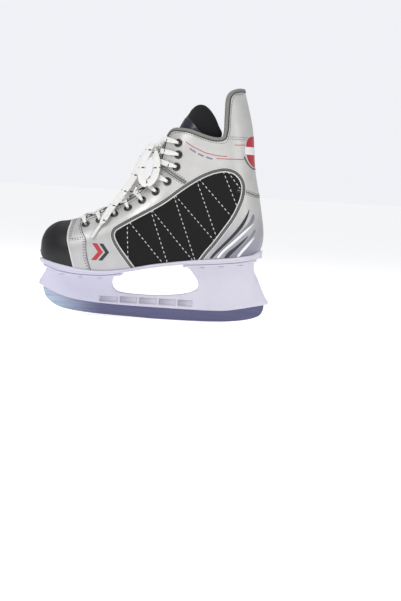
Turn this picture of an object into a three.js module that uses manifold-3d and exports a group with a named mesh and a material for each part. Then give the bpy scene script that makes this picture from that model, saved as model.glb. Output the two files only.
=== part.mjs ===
// Ice hockey skate: sewn boot, riveted blade holder, steel runner and its lace.
// Millimetres. Toe towards -X, wearer's left towards -Y, +Z up.
// The origin is the middle of the heel seat, on top of the footbed.
import * as THREE from "three";
import { mergeVertices } from "three/addons/utils/BufferGeometryUtils.js";
import Module from "manifold-3d";

const wasm = await Module();
wasm.setup();

// ---- Driving dimensions -------------------------------------------------
const BOOT_LENGTH = 277; // toe tip to heel back
const BOOT_HEIGHT = 234; // ball of the sole to the top of the tendon guard
const BALL_HALF_WIDTH = 47;
const WAIST_HALF_WIDTH = 39;
const HEEL_HALF_WIDTH = 34;
const ANKLE_HALF_WIDTH = 37;
const GUARD_HALF_WIDTH = 26;
const SHELL_THICKNESS = 2.4;
const TOE_CAP_THICKNESS = 3;
const LINING_THICKNESS = 3.8;
const GUARD_PAD_THICKNESS = 4.5;
const TONGUE_THICKNESS = 6;
const BOARD_THICKNESS = 3.2;
const FOOTBED_THICKNESS = 5;
const SOLE_MARGIN = 1.4; // the outsole stands this far out past the boot
const FLANGE_THICKNESS = 3;
const RAIL_HALF_WIDTH = 6.5;
const POST_HALF_WIDTH = 17;
const RIB_POCKET_DEPTH = 1.6;
const RUNNER_THICKNESS = 3.6;
const RUNNER_INSET = 7; // depth of the runner in the holder
const RUNNER_FLAT_HALF_LENGTH = 22; // flat middle of the rockered edge
const EYELET_RADIUS = 5.4;
const EYELET_BORE_RADIUS = 2.4;
const EYELET_WALL = 0.8;
const RIVET_RADIUS = 1.8;
const RIVET_HEAD_RADIUS = 3.6;
const LACE_WIDTH = 10;
const LACE_THICKNESS = 1.3;
const LACE_BUNCHED_WIDTH = 3.2; // where it is drawn through an eyelet
const GAP = 0.3; // between touching pieces
const SEAM_GAP = 0.4; // between panels sewn edge to edge

// The outlines below are drawn for a boot 277 long and 234 high and graded to the size.
const LENGTH_GRADE = BOOT_LENGTH / 277;
const HEIGHT_GRADE = BOOT_HEIGHT / 234;
const graded = ([x, z]) => [x * LENGTH_GRADE, z * HEIGHT_GRADE];
const drawn = (...points) => points.map(graded);

// ---- Small mathematics ---------------------------------------------------
const clamp01 = (v) => Math.min(1, Math.max(0, v));
const lerp = (a, b, t) => a + (b - a) * t;
const smoothstep = (a, b, v) => {
  const t = clamp01((v - a) / (b - a));
  return t * t * (3 - 2 * t);
};
// A quarter of a superellipse: 0 at 0, level from 1 on.
const quarterRound = (u, power = 2) =>
  u <= 0 ? 0 : u >= 1 ? 1 : (1 - (1 - u) ** power) ** (1 / power);

// A smooth line through [x, z] points, as n + 1 points.
function smoothLine(points, n, closed = false) {
  const curve = new THREE.CatmullRomCurve3(
    points.map(([x, z]) => new THREE.Vector3(x, z, 0)),
    closed,
    "centripetal",
  );
  return curve
    .getPoints(n)
    .map((p) => [p.x, p.y])
    .slice(0, closed ? n : n + 1);
}

// Linear interpolation in a list of [key, value] with rising keys.
function table(pairs) {
  return (key) => {
    let i = 1;
    while (i < pairs.length - 1 && pairs[i][0] < key) i += 1;
    const [[k0, v0], [k1, v1]] = [pairs[i - 1], pairs[i]];
    return lerp(v0, v1, clamp01((key - k0) / (k1 - k0)));
  };
}

// A closed outline moved outwards by d (inwards where d is negative).
function grown(outline, d) {
  const area = outline.reduce((sum, [x, z], i) => {
    const [nx, nz] = outline[(i + 1) % outline.length];
    return sum + x * nz - nx * z;
  }, 0);
  const turn = Math.sign(area) * d;
  return outline.map(([x, z], i) => {
    const [ax, az] = outline[(i + outline.length - 1) % outline.length];
    const [bx, bz] = outline[(i + 1) % outline.length];
    const before = new THREE.Vector2(z - az, ax - x).normalize();
    const after = new THREE.Vector2(bz - z, x - bx).normalize();
    const out = before.add(after).normalize();
    const stretch = 1 / Math.max(0.5, Math.abs(out.dot(after)));
    return [x + out.x * turn * stretch, z + out.y * turn * stretch];
  });
}

// ---- Solids ----------------------------------------------------------------
function solid(geometry) {
  const bare = geometry.index ? geometry.toNonIndexed() : geometry.clone();
  const positions = new THREE.BufferGeometry();
  positions.setAttribute("position", bare.getAttribute("position"));
  const merged = mergeVertices(positions, 1e-4);
  return new wasm.Manifold(
    new wasm.Mesh({
      numProp: 3,
      vertProperties: merged.attributes.position.array,
      triVerts: new Uint32Array(merged.index.array),
    }),
  );
}

function geometryOf(body) {
  const { numProp, vertProperties, triVerts } = body.getMesh();
  const count = vertProperties.length / numProp;
  const positions = new Float32Array(count * 3);
  for (let i = 0; i < count; i += 1)
    positions.set(vertProperties.subarray(i * numProp, i * numProp + 3), i * 3);
  const geometry = new THREE.BufferGeometry();
  geometry.setAttribute("position", new THREE.BufferAttribute(positions, 3));
  geometry.setIndex(new THREE.BufferAttribute(new Uint32Array(triVerts), 1));
  return geometry;
}

// Triangles from a list of corner triples; the ones without area are left out.
function geometryFromTriangles(triangles) {
  const flat = triangles
    .filter(([a, b, c]) => {
      const same = (p, q) => p.distanceTo(q) < 1e-4;
      return !same(a, b) && !same(b, c) && !same(c, a);
    })
    .flatMap((corners) => corners.flatMap((p) => [p.x, p.y, p.z]));
  const geometry = new THREE.BufferGeometry();
  geometry.setAttribute("position", new THREE.Float32BufferAttribute(flat, 3));
  return geometry;
}

function mirrored(geometry) {
  const other = geometry.clone().scale(1, -1, 1);
  const index = other.index.array;
  for (let i = 0; i < index.length; i += 3)
    [index[i], index[i + 1]] = [index[i + 1], index[i]];
  return other;
}

// A side-view outline (x, z) extruded from y = low to y = high.
function sidePrism(outline, low = -90, high = 90) {
  const shape = new THREE.Shape(outline.map(([x, z]) => new THREE.Vector2(x, z)));
  const geometry = new THREE.ExtrudeGeometry(shape, {
    depth: high - low,
    bevelEnabled: false,
  });
  return solid(geometry.rotateX(Math.PI / 2).translate(0, high, 0));
}

// A plan outline (x, y) extruded from z = low to z = high.
function planPrism(outline, low, high) {
  const shape = new THREE.Shape(outline.map(([x, y]) => new THREE.Vector2(x, y)));
  const geometry = new THREE.ExtrudeGeometry(shape, {
    depth: high - low,
    bevelEnabled: false,
  });
  return solid(geometry.translate(0, 0, low));
}

// ---- The boot's form ------------------------------------------------------
// Two side-view profiles with matching points: the ridge (up the toe, along the instep and
// up the front) and the rim (back along the sole's edge and up the heel).
const RIDGE = drawn(
  [-232, -23], [-236, -17], [-236.6, -8], [-235.5, 2], [-230, 13.5], [-218, 22.5],
  [-200, 26.5], [-178, 36], [-151, 48], [-128, 62], [-108, 82], [-99, 100],
  [-97, 106], [-95.6, 112], [-94.6, 118], [-93, 127],
  [-90, 139], [-83, 154], [-72, 176], [-57, 206],
);
const RIM = drawn(
  [-232, -23], [-228, -24.4], [-223, -25.6], [-217, -27], [-208, -28.7], [-198, -30.3],
  [-182, -32.6], [-158, -33.2], [-130, -29.6], [-95, -21.7], [-50, -14.4], [0, -8.4],
  [22, -4.4], [32, -1.9], [37.5, 2], [41, 18],
  [34.5, 62], [25.6, 103], [19.5, 153], [4.5, 208],
);
const PROFILE_STEPS = 10; // points between two drawn ones, in the tables
const fineLine = (points) => {
  const curve = new THREE.CatmullRomCurve3(
    points.map(([x, z]) => new THREE.Vector3(x, z, 0)),
  );
  return curve.getPoints((points.length - 1) * PROFILE_STEPS);
};
const ridgeLine = fineLine(RIDGE);
const rimLine = fineLine(RIM);
const HEEL_CORNER = 14; // the rim point where the sole's edge turns up the heel
const ridgeAt = (t) => ridgeLine[Math.round(t * (ridgeLine.length - 1))];

const soleEdge = table(
  rimLine.slice(0, HEEL_CORNER * PROFILE_STEPS + 1).map((p) => [p.x, p.y]),
);
// The plane the boot is lasted on: the sole's edge, carried straight on under the heel.
const soleLine = (x) => {
  const last = 30 * LENGTH_GRADE;
  return soleEdge(Math.min(x, last)) + Math.max(0, x - last) * 0.17;
};
const backEdge = table(
  rimLine.slice(HEEL_CORNER * PROFILE_STEPS).map((p) => [p.y, p.x]),
);

// Distance below the ridge, measured from a hub ahead of the instep.
const HUB = graded([-200, 215]);
const hubAngle = (x, z) => Math.atan2(x - HUB[0], HUB[1] - z);
const ridgePolar = ridgeLine.map((p) => [
  hubAngle(p.x, p.y),
  Math.hypot(p.x - HUB[0], p.y - HUB[1]),
]);
const foremost = ridgePolar.reduce((best, p, i) => (p[0] < ridgePolar[best][0] ? i : best), 0);
const ridgeRadius = table(ridgePolar.slice(foremost));
const belowRidge = (x, z) =>
  Math.hypot(x - HUB[0], z - HUB[1]) - ridgeRadius(hubAngle(x, z));

const NOSE_X = RIDGE[2][0];
const NOSE_ROUND = 64 * LENGTH_GRADE; // length over which the toe comes to full width
const DOME_DEPTH = 42; // depth below the ridge at which the side is upright
const BACK_DEPTH = 35;
const soleWidth = table([
  [-237 * LENGTH_GRADE, BALL_HALF_WIDTH],
  [-165 * LENGTH_GRADE, BALL_HALF_WIDTH],
  [-90 * LENGTH_GRADE, WAIST_HALF_WIDTH],
  [-45 * LENGTH_GRADE, lerp(WAIST_HALF_WIDTH, HEEL_HALF_WIDTH, 0.6)],
  [0, HEEL_HALF_WIDTH],
  [60 * LENGTH_GRADE, HEEL_HALF_WIDTH],
]);
const shaftWidth = table([
  [40 * HEIGHT_GRADE, lerp(HEEL_HALF_WIDTH, ANKLE_HALF_WIDTH, 0.8)],
  [92 * HEIGHT_GRADE, ANKLE_HALF_WIDTH],
  [140 * HEIGHT_GRADE, ANKLE_HALF_WIDTH - 1.5],
  [172 * HEIGHT_GRADE, lerp(ANKLE_HALF_WIDTH, GUARD_HALF_WIDTH, 0.55)],
  [206 * HEIGHT_GRADE, GUARD_HALF_WIDTH],
]);

// Half the boot's width at a side-view place, inset inwards all round.
function halfWidth(x, z, inset = 0) {
  const leg = smoothstep(8 * HEIGHT_GRADE, 84 * HEIGHT_GRADE, z);
  const lift = clamp01((z - soleEdge(x)) / 20);
  const tuck = 1 - 0.075 * (1 - lift) ** 2;
  const full = lerp(soleWidth(x) * tuck, shaftWidth(z), leg) - inset;
  const dome = quarterRound((belowRidge(x, z) - inset) / (DOME_DEPTH - inset), 2.1);
  const back = quarterRound((backEdge(z) - x - inset) / (BACK_DEPTH - inset), 2.1);
  const nose = quarterRound((x - NOSE_X - inset) / NOSE_ROUND, 2.3);
  return full * dome * back * nose;
}

// A place on the boot's side: side -1 is the wearer's left, out is along the surface normal.
function onBoot(side, x, z, out = 0) {
  const step = 0.5;
  const slopeX = (halfWidth(x + step, z) - halfWidth(x - step, z)) / (2 * step);
  const slopeZ = (halfWidth(x, z + step) - halfWidth(x, z - step)) / (2 * step);
  const normal = new THREE.Vector3(-slopeX, 1, -slopeZ).normalize();
  const point = new THREE.Vector3(x, halfWidth(x, z), z).addScaledVector(normal, out);
  point.y *= side;
  normal.y *= side;
  return { point, normal };
}

// The boot's form as one solid, inset by a number or by a function of height.
const COLUMN_STEPS = [1, 1, 1, 1, 2, 2, 2, 1, 2, 2, 2, 3, 3, 2, 3, 2, 2, 1, 1];
const FORM_ROWS = 8;
const OVERRUN = 7; // how far a cutting form runs past the sole and the top
function bootForm(inset, { raised = 0, cutter = false } = {}) {
  const insetAt = typeof inset === "function" ? inset : () => inset;
  const columns = [];
  const steps = ridgeLine.length - 1;
  const places = COLUMN_STEPS.flatMap((n, key) =>
    Array.from({ length: n }, (_, i) => (key + i / n) * PROFILE_STEPS),
  ).concat(steps);
  for (const at of places) {
    const k = Math.min(steps - 1, Math.floor(at));
    const ridge = ridgeLine[k].clone().lerp(ridgeLine[k + 1], at - k);
    const rim = rimLine[k].clone().lerp(rimLine[k + 1], at - k);
    const along = ridgeLine[Math.min(steps, k + 1)].clone().sub(ridgeLine[Math.max(0, k - 1)]);
    const inward = new THREE.Vector3(along.y, -along.x, 0).normalize();
    ridge.addScaledVector(inward, insetAt(ridge.y));
    const heel = at / PROFILE_STEPS - HEEL_CORNER;
    rim.x = Math.min(rim.x, backEdge(rim.y) - insetAt(rim.y));
    if (heel <= 0) rim.y += cutter ? -OVERRUN : raised;
    if (heel <= 0) rim.x = Math.max(rim.x, Math.min(ridge.x, NOSE_X + insetAt(0) + 3));
    if (at === steps && cutter) {
      ridge.y += OVERRUN;
      rim.y += OVERRUN;
    }
    const column = [];
    for (let j = 0; j <= FORM_ROWS; j += 1) {
      const s = (1 - Math.cos((Math.PI * j) / FORM_ROWS)) / 2;
      const p = ridge.clone().lerp(rim, s);
      const closes = j === 0 || (j === FORM_ROWS && heel > 0);
      const half = closes ? 0 : Math.max(0, halfWidth(p.x, p.y, insetAt(p.y)));
      column.push([p.x, half, p.y]);
    }
    columns.push(column);
  }
  const corner = ([x, half, z], side) => new THREE.Vector3(x, side * half, z);
  const triangles = [];
  const quad = (a, b, c, d) => triangles.push([a, b, c], [a, c, d]);
  for (let i = 0; i < columns.length - 1; i += 1) {
    const [near, far] = [columns[i], columns[i + 1]];
    for (let j = 0; j < FORM_ROWS; j += 1) {
      for (const side of [1, -1]) {
        const [a, b] = [corner(near[j], side), corner(far[j], side)];
        const [c, d] = [corner(far[j + 1], side), corner(near[j + 1], side)];
        triangles.push(side > 0 ? [a, b, c] : [c, b, a], side > 0 ? [a, c, d] : [d, c, a]);
      }
    }
    const [a, b] = [near[FORM_ROWS], far[FORM_ROWS]];
    quad(corner(a, 1), corner(b, 1), corner(b, -1), corner(a, -1));
  }
  for (const [end, order] of [[columns[0], -1], [columns.at(-1), 1]])
    for (let j = 0; j < FORM_ROWS; j += 1)
      quad(
        corner(end[j], order), corner(end[j], -order),
        corner(end[j + 1], -order), corner(end[j + 1], order),
      );
  return solid(geometryFromTriangles(triangles));
}

// A layer of the boot between two insets, open at the throat, the top and below.
const formLayer = (outer, inner, raised = 0) =>
  bootForm(outer, { raised }).subtract(bootForm(inner, { cutter: true }));

// ---- Seams and edges, drawn in side view -----------------------------------
const toeSeam = smoothLine(
  drawn([-197, 60], [-199.5, 26], [-202, 14], [-202.2, 2], [-200, -6], [-196.8, -17], [-190, -40]),
  9,
);
const vampSeam = smoothLine(
  drawn([-186, 60], [-188.5, 27], [-184, 12], [-179.5, 4], [-178.7, -7], [-176, -20], [-169, -40]),
  9,
);
const throatEdge = smoothLine(
  drawn([-188.5, 27.2], [-176, 33], [-151, 43.6], [-125.5, 58.3], [-104.8, 79], [-94.6, 101]),
  8,
);
const throatEdgeAbove = drawn([-94.2, 102], [-91, 117], [-88.8, 130], [-86, 140], [-82, 145.8]);
const collarEdge = smoothLine(
  drawn([-82, 145.8], [-77.5, 147.5], [-71.6, 147.4], [-59, 146], [-46, 142], [-34, 138.6],
    [-24, 137.4], [-17, 138.8]),
  9,
);
const quarterSeam = drawn([-94.4, 101.4], [-88.5, 98], [-74, 89], [-60, 81.2]);
const heelSeam = drawn([4, 76], [14, 75], [26, 71], [60, 64]);
const panelOutline = smoothLine(
  drawn([-117.3, -27.5], [-127, -15.6], [-136.5, -3.7], [-142, 4.7], [-144.4, 11], [-143.4, 16.3],
    [-139, 20], [-127, 27.8], [-101.6, 43.5], [-84.8, 54.6], [-60.9, 74], [-42.9, 86.5],
    [-30.7, 92.9], [-20.9, 96.4], [-11, 98], [-2.5, 96.3], [4.4, 91.3], [8.6, 84.1], [9.7, 76.6],
    [8.5, 66.5], [5.3, 56.3], [-0.2, 43.4], [-11.6, 25.2], [-23, 8.2], [-31.2, -2.3],
    [-38.7, -13.5]),
  30,
);
const BELOW_SOLE = -60 * HEIGHT_GRADE;
panelOutline.push(graded([-40, -60]), graded([-116, -60]));
const guardLow = graded([0, 139.4])[1];
const guardOutline = [
  ...smoothLine(
    drawn([-15.6, 139.4], [-14, 148], [-13.8, 165], [-13.6, 181], [-13, 190], [-10.5, 195.3],
      [-4.7, 199.1], [1.5, 200.7], [30, 201]),
    10,
  ),
  ...drawn([60, 201], [60, 139.4]),
];

// ---- Outer shell: pieces of one layer, parted by their seams -----------------
const HALF_SEAM = SEAM_GAP / 2;
const shell = formLayer(0, SHELL_THICKNESS);
const shellPiece = (region, low, high) =>
  shell.intersect(sidePrism(grown(region, -HALF_SEAM), low, high));
const panelHole = sidePrism(grown(panelOutline, HALF_SEAM));
const SIDE = [0.2, 90]; // the y range of the right-hand pieces

const eyelets = drawn(
  [-181, 22.6], [-164, 28.8], [-146.5, 37.2], [-130, 46], [-113, 56.4],
  [-96.8, 68.2], [-83, 81.6], [-73, 100.4], [-71.4, 115.6], [-72.4, 130],
);
function towardsRidge([x, z]) {
  const nearest = ridgeLine.reduce((best, p) =>
    Math.hypot(p.x - x, p.y - z) < Math.hypot(best.x - x, best.y - z) ? p : best,
  );
  const reach = Math.hypot(nearest.x - x, nearest.y - z);
  return { dir: [(nearest.x - x) / reach, (nearest.y - z) / reach], reach };
}

// A turned solid, its axis laid along a direction at a place.
function turned(profile, place, direction, segments) {
  const points = profile.map(([r, h]) => new THREE.Vector2(r, h));
  const geometry = new THREE.LatheGeometry(points, segments);
  const turn = new THREE.Quaternion().setFromUnitVectors(
    new THREE.Vector3(0, 1, 0),
    direction,
  );
  geometry.applyQuaternion(turn).translate(place.x, place.y, place.z);
  return solid(geometry);
}
const rod = (radius, low, high) => [[0, low], [radius, low], [radius, high], [0, high]];

const eyeletHoles = eyelets
  .map(([x, z]) => {
    const { point, normal } = onBoot(1, x, z);
    const radius = EYELET_BORE_RADIUS + EYELET_WALL + GAP;
    return turned(rod(radius, -8, 6), point, normal, 8);
  })
  .reduce((all, hole) => all.add(hole));

const THROAT_HALF_WIDTH = 14.5;
const throatGap = sidePrism(
  drawn([-188.2, 20], [-60, 20], [-60, 200], [-188.2, 200]),
  -THROAT_HALF_WIDTH,
  THROAT_HALF_WIDTH,
);
const toeRegion = [...drawn([-260, 70]), ...toeSeam, ...drawn([-260, -50])];
const vampRegion = [...toeSeam, ...[...vampSeam].reverse()];
const lowerRegion = [
  ...[...vampSeam].reverse().filter(([, z]) => z < throatEdge[0][1] - 2),
  ...throatEdge,
  ...quarterSeam,
  ...drawn([-60, 66], [-110, 0], [-112, -60]),
];
const upperRegion = [
  ...[...quarterSeam].reverse(),
  ...throatEdgeAbove,
  ...collarEdge.slice(1),
  ...drawn([-15.6, 139], [60, 139]),
  ...[...heelSeam].reverse(),
  ...drawn([-50, 74]),
];
const heelRegion = [...heelSeam, ...drawn([60, -40], [-48, -40], [-44, 0], [-10, 50])];

const toeCap = bootForm(0)
  .subtract(bootForm(TOE_CAP_THICKNESS, { cutter: true }))
  .intersect(sidePrism(grown(toeRegion, -HALF_SEAM)));
const vamp = shellPiece(vampRegion);
const quarter = (region) =>
  shellPiece(region, ...SIDE).subtract(panelHole).subtract(eyeletHoles).subtract(throatGap);
const lowerQuarter = quarter(lowerRegion).subtract(sidePrism(grown(vampRegion, HALF_SEAM)));
const upperQuarter = quarter(upperRegion);
const sidePanel = shellPiece(panelOutline, ...SIDE);
const heelCounter = shellPiece(heelRegion).subtract(panelHole);
const tendonGuard = shellPiece(guardOutline);

// ---- Inside the boot ---------------------------------------------------------
const boardTop = (x) => soleLine(x) + GAP + BOARD_THICKNESS;
const soleStations = Array.from({ length: 25 }, (_, i) => graded([-226 + i * 11, 0])[0]);
const above = (line, ceiling) => [
  ...line,
  [line[line.length - 1][0], ceiling],
  [line[0][0], ceiling],
];
const below = (line) => above(line, BELOW_SOLE);
const boardLine = soleStations.map((x) => [x, boardTop(x)]);
// The footbed is level at the heel seat, where the origin is.
const SEAT = [-24, 20];
const footbedLine = soleStations
  .filter((x) => x < SEAT[0] - 14)
  .map((x) => [x, boardTop(x) + GAP + FOOTBED_THICKNESS]);
footbedLine.push([SEAT[0], 0], [SEAT[1], 0], [SEAT[1] + 16, 4], [SEAT[1] + 40, 6]);

const innerOf = Math.max(TOE_CAP_THICKNESS, SHELL_THICKNESS + 2 * GAP) + 2.5 * GAP;
const insideShell = bootForm(SHELL_THICKNESS + GAP, { cutter: true });
const innerForm = (raised) => bootForm(innerOf, { raised }).intersect(insideShell);
const insoleBoard = innerForm(GAP).intersect(sidePrism(below(boardLine)));
const footbed = innerForm(GAP * 2 + BOARD_THICKNESS).intersect(sidePrism(below(footbedLine)));

const liningFront = smoothLine(
  drawn([-194, 6], [-181, 12], [-164, 18.8], [-146, 27], [-129, 36], [-111, 46], [-92, 58.5],
    [-75, 74], [-64.5, 96], [-62.4, 115], [-63.5, 131], [-66, 139], [-62, 144], [-46, 140.2],
    [-34, 136.8], [-24, 135.6], [-16, 136.8]),
  18,
);
const liningRegion = [...liningFront, ...drawn([60, 137], [60, -60], [-194, -60])];
const lining = formLayer(innerOf, innerOf + LINING_THICKNESS)
  .intersect(insideShell)
  .intersect(sidePrism(liningRegion))
  .intersect(sidePrism(above(footbedLine.map(([x, z]) => [x, z + 2 * GAP]), 300)));

const guardPadRegion = grown(guardOutline, -1.6);
const guardPad = formLayer(innerOf - 0.3, innerOf - 0.3 + GUARD_PAD_THICKNESS).intersect(
  sidePrism(guardPadRegion),
);

// The tongue lies close under the lacing and falls back from it towards the top.
const TONGUE_DEPTH = 7.2;
const TONGUE_TOP_DEPTH = 12;
const tongueInset = (z) =>
  lerp(TONGUE_DEPTH, TONGUE_TOP_DEPTH, smoothstep(62 * HEIGHT_GRADE, 142 * HEIGHT_GRADE, z));
const tongueForm = bootForm(tongueInset, { raised: 8 }).subtract(
  bootForm((z) => tongueInset(z) + TONGUE_THICKNESS, { cutter: true }),
);
const TONGUE_HINGE_Z = 137;
const [tongueHingeX, tongueHingeZ] = graded([-76, TONGUE_HINGE_Z]);
const TONGUE_SPLIT = 0.8;
const tongueLowerRegion = [
  ...drawn([-204, 60], [-204, 22]),
  ...smoothLine(
    drawn([-200, 16], [-183, 16.5], [-150, 30], [-120, 46], [-96, 64], [-80, 82], [-70, 104],
      [-66, 122]),
    8,
  ),
  [graded([-62, 0])[0], tongueHingeZ - TONGUE_SPLIT],
  [graded([-140, 0])[0], tongueHingeZ - TONGUE_SPLIT],
];
const tongueUpperRegion = [
  [graded([-140, 0])[0], tongueHingeZ],
  [graded([-19.5, 0])[0], tongueHingeZ],
  ...smoothLine(
    drawn([-18.6, 145], [-23.2, 154.7], [-27.6, 163.9], [-31.6, 169.8], [-38.3, 176.8],
      [-45, 180.6], [-54, 180.2], [-64, 173]),
    10,
  ),
  graded([-140, 174]),
];
const tongueLower = tongueForm.intersect(sidePrism(tongueLowerRegion));
const tongueUpper = tongueForm.intersect(sidePrism(tongueUpperRegion));

// ---- Outsole, blade holder and runner ------------------------------------------
const outsoleBottom = table(
  drawn([-228.6, -30.5], [-217, -35], [-198, -38.4], [-179, -39.4], [-160, -39.2], [-148, -37.9],
    [-135.6, -35.6], [-117, -31.3], [-98.5, -27.4], [-80, -23.8], [-61, -21], [-42.6, -19.4],
    [-24, -17.8], [-5, -15.6], [13, -13.2], [25.7, -10.6], [40, -7.5]),
);
const planEdge = (margin) => {
  const xs = [-236.4, -235.4, -233.5, -230, -224, -215, -204, -192, -178, -160, -142, -124,
    -104, -84, -64, -44, -24, -4, 10, 20, 28, 34, 38];
  const side = xs.map((x) => {
    const [gx] = graded([x, 0]);
    return [gx, Math.max(2, halfWidth(gx, soleEdge(gx) + 1))];
  });
  return grown([...side, ...side.map(([x, y]) => [x, -y]).reverse()], margin);
};
const outsoleSide = [
  [graded([-238, 0])[0], soleEdge(-1000) - 1.6],
  [graded([-231, 0])[0], soleEdge(graded([-231, 0])[0]) - GAP],
  ...soleStations.map((x) => [x, soleLine(x) - GAP]),
  ...[...soleStations].reverse().map((x) => [x, outsoleBottom(x)]),
  ...drawn([-230, -29.6], [-238, -27]),
];
const solePlan = planEdge(SOLE_MARGIN);
const outsoleBlank = sidePrism(outsoleSide).intersect(planPrism(solePlan, -100, 60));

const holderOutline = [
  ...soleStations.filter((x) => x < graded([33, 0])[0])
    .map((x) => [x, outsoleBottom(x) - GAP]),
  ...smoothLine(
    drawn([31, -10], [31.4, -22.2], [37.2, -34.4], [42.9, -46.6], [48.6, -57.5], [52, -62.3],
      [50.6, -65]),
    10,
  ),
  ...smoothLine(
    drawn([44, -66.6], [35.5, -68.4], [17, -72.6], [-1.6, -75.9], [-20.4, -76.9], [-70, -77],
      [-120, -76.6], [-146, -76], [-171, -74.7], [-190, -72.6], [-203, -70], [-214, -66.4],
      [-224.5, -61.8], [-234, -57]),
    20,
  ),
  ...drawn([-236.6, -55.4], [-236.6, -53], [-226, -33]),
];
const windowOutline = [
  ...smoothLine(
    drawn([-134, -36], [-139.6, -38.6], [-144, -43], [-145.2, -49.3], [-143.4, -55],
      [-138.6, -59.1], [-127.7, -61.2], [-108.9, -62], [-90, -62], [-71.5, -60.4], [-53, -57.5],
      [-45, -54.8], [-38.8, -51.2], [-36.9, -46.5], [-38.6, -39.1], [-43.1, -33], [-48.5, -26.4],
      [-54, -22.6]),
    30,
  ),
  ...drawn([-56, 0], [-130, 0]),
];
const railBottom = table(
  drawn([-236, -56], [-224, -62], [-203, -70], [-171, -74.7], [-120, -76.6], [-20, -76.9],
    [17, -72.6], [50, -65]),
);
// Half width of the holder's flange under the sole, and of its walls below it.
const FLANGE_INSET = 2.5;
const flangeHalf = (x) => Math.max(6, halfWidth(x, soleEdge(x) + 1) - FLANGE_INSET);
const HOLDER_RISE = [0, 0.12, 0.35, 0.6, 0.8, 0.92, 1];
function holderForm() {
  const stations = Array.from({ length: 17 }, (_, i) => graded([-238 + i * 18.4, 0])[0]);
  const sections = stations.map((x) => {
    const low = railBottom(x) - 4;
    const flangeLow = outsoleBottom(x) - GAP - FLANGE_THICKNESS;
    const post = Math.min(POST_HALF_WIDTH, flangeHalf(x) - 3);
    const side = HOLDER_RISE.map((t) => {
      const flare = lerp(RAIL_HALF_WIDTH, post, t ** 2.2);
      return [flare, lerp(low, flangeLow, t)];
    });
    side.push([flangeHalf(x), flangeLow], [flangeHalf(x), flangeLow + FLANGE_THICKNESS + 6]);
    return [...side, ...side.map(([y, z]) => [-y, z]).reverse()].map(
      ([y, z]) => new THREE.Vector3(x, y, z),
    );
  });
  return solid(geometryFromTriangles(loftTriangles(sections)));
}

// Triangles of a closed loft through sections of equally many points.
function loftTriangles(sections) {
  const triangles = [];
  const count = sections[0].length;
  for (let i = 0; i < sections.length - 1; i += 1)
    for (let j = 0; j < count; j += 1) {
      const k = (j + 1) % count;
      const [a, b] = [sections[i][j], sections[i][k]];
      const [c, d] = [sections[i + 1][j], sections[i + 1][k]];
      triangles.push([a, b, d], [a, d, c]);
    }
  for (const [section, flip] of [[sections[0], false], [sections.at(-1), true]]) {
    const middle = section
      .reduce((sum, p) => sum.add(p), new THREE.Vector3())
      .divideScalar(count);
    for (let j = 0; j < count; j += 1) {
      const [a, b] = [section[j], section[(j + 1) % count]];
      triangles.push(flip ? [a, b, middle] : [b, a, middle]);
    }
  }
  return triangles;
}

const runnerFlatZ = -91.4 * HEIGHT_GRADE;
const runnerMiddle = graded([-70, 0])[0];
const runnerTop = soleStations
  .filter((x) => x > graded([-222, 0])[0] && x < graded([40, 0])[0])
  .map((x) => [x, railBottom(x) + RUNNER_INSET]);
const runnerOutline = [
  ...drawn([-228, -53.5]),
  ...runnerTop,
  ...drawn([44.5, -60.5]),
  ...smoothLine(drawn([46.6, -66], [46, -72], [42.4, -79], [35, -83], [25, -86]), 6),
  ...smoothLine(drawn([5.5, -89.1], [-13, -90.5]), 1),
  [runnerMiddle + RUNNER_FLAT_HALF_LENGTH, runnerFlatZ],
  [runnerMiddle - RUNNER_FLAT_HALF_LENGTH, runnerFlatZ],
  ...smoothLine(
    drawn([-119.7, -90.6], [-145, -89.9], [-170, -88.8], [-195, -86.4], [-210, -83.2],
      [-220.7, -77.5], [-227.5, -71], [-231.5, -60.5]),
    12,
  ),
];
const halfRunner = RUNNER_THICKNESS / 2;
const runner = sidePrism(runnerOutline, -halfRunner, halfRunner);
const runnerSlot = sidePrism(grown(runnerOutline, GAP), -halfRunner - GAP, halfRunner + GAP);

// Moulded recesses along the rail, parted by ribs.
const RAIL_RECESSES = [
  [-160, -137], [-134.5, -112.5], [-110, -88], [-85.5, -64], [-61.5, -43],
];
const recessTop = (x) => x < -140 ? -66 : -65.2;
const recesses = RAIL_RECESSES.flatMap(([a, b]) => {
  const outline = drawn([a, recessTop(a)], [b, recessTop(b)], [b - 1, -73.4], [a + 1, -73.4]);
  const wall = RAIL_HALF_WIDTH - RIB_POCKET_DEPTH;
  return [sidePrism(outline, wall, 30), sidePrism(outline, -30, -wall)];
}).reduce((all, recess) => all.add(recess));

// Rivets hold the flange, the outsole and the insole board together.
const RIVET_STATIONS = [-207, -184, -160, -34, -10, 14];
const rivets = RIVET_STATIONS.flatMap((station) => {
  const [x] = graded([station, 0]);
  const y = lerp(Math.min(POST_HALF_WIDTH, flangeHalf(x) - 3), flangeHalf(x), 0.55);
  return [-1, 1].map((side) => ({ x, y: side * y }));
});
const RIVET_HEAD_HEIGHT = 1.4;
const RIVET_SEAT = 0.8; // clears the slope of the flange across the head
const up = new THREE.Vector3(0, 0, 1);
const rivetSolids = rivets.map(({ x, y }) => {
  const seat = outsoleBottom(x) - GAP - FLANGE_THICKNESS - RIVET_SEAT;
  const top = boardTop(x) - 0.4;
  const profile = [
    [0, seat - RIVET_HEAD_HEIGHT],
    [RIVET_HEAD_RADIUS * 0.6, seat - RIVET_HEAD_HEIGHT],
    [RIVET_HEAD_RADIUS, seat - RIVET_HEAD_HEIGHT / 3],
    [RIVET_HEAD_RADIUS, seat],
    [RIVET_RADIUS, seat],
    [RIVET_RADIUS, top],
    [0, top],
  ];
  return turned(profile, new THREE.Vector3(x, y, 0), up, 6);
});
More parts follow.
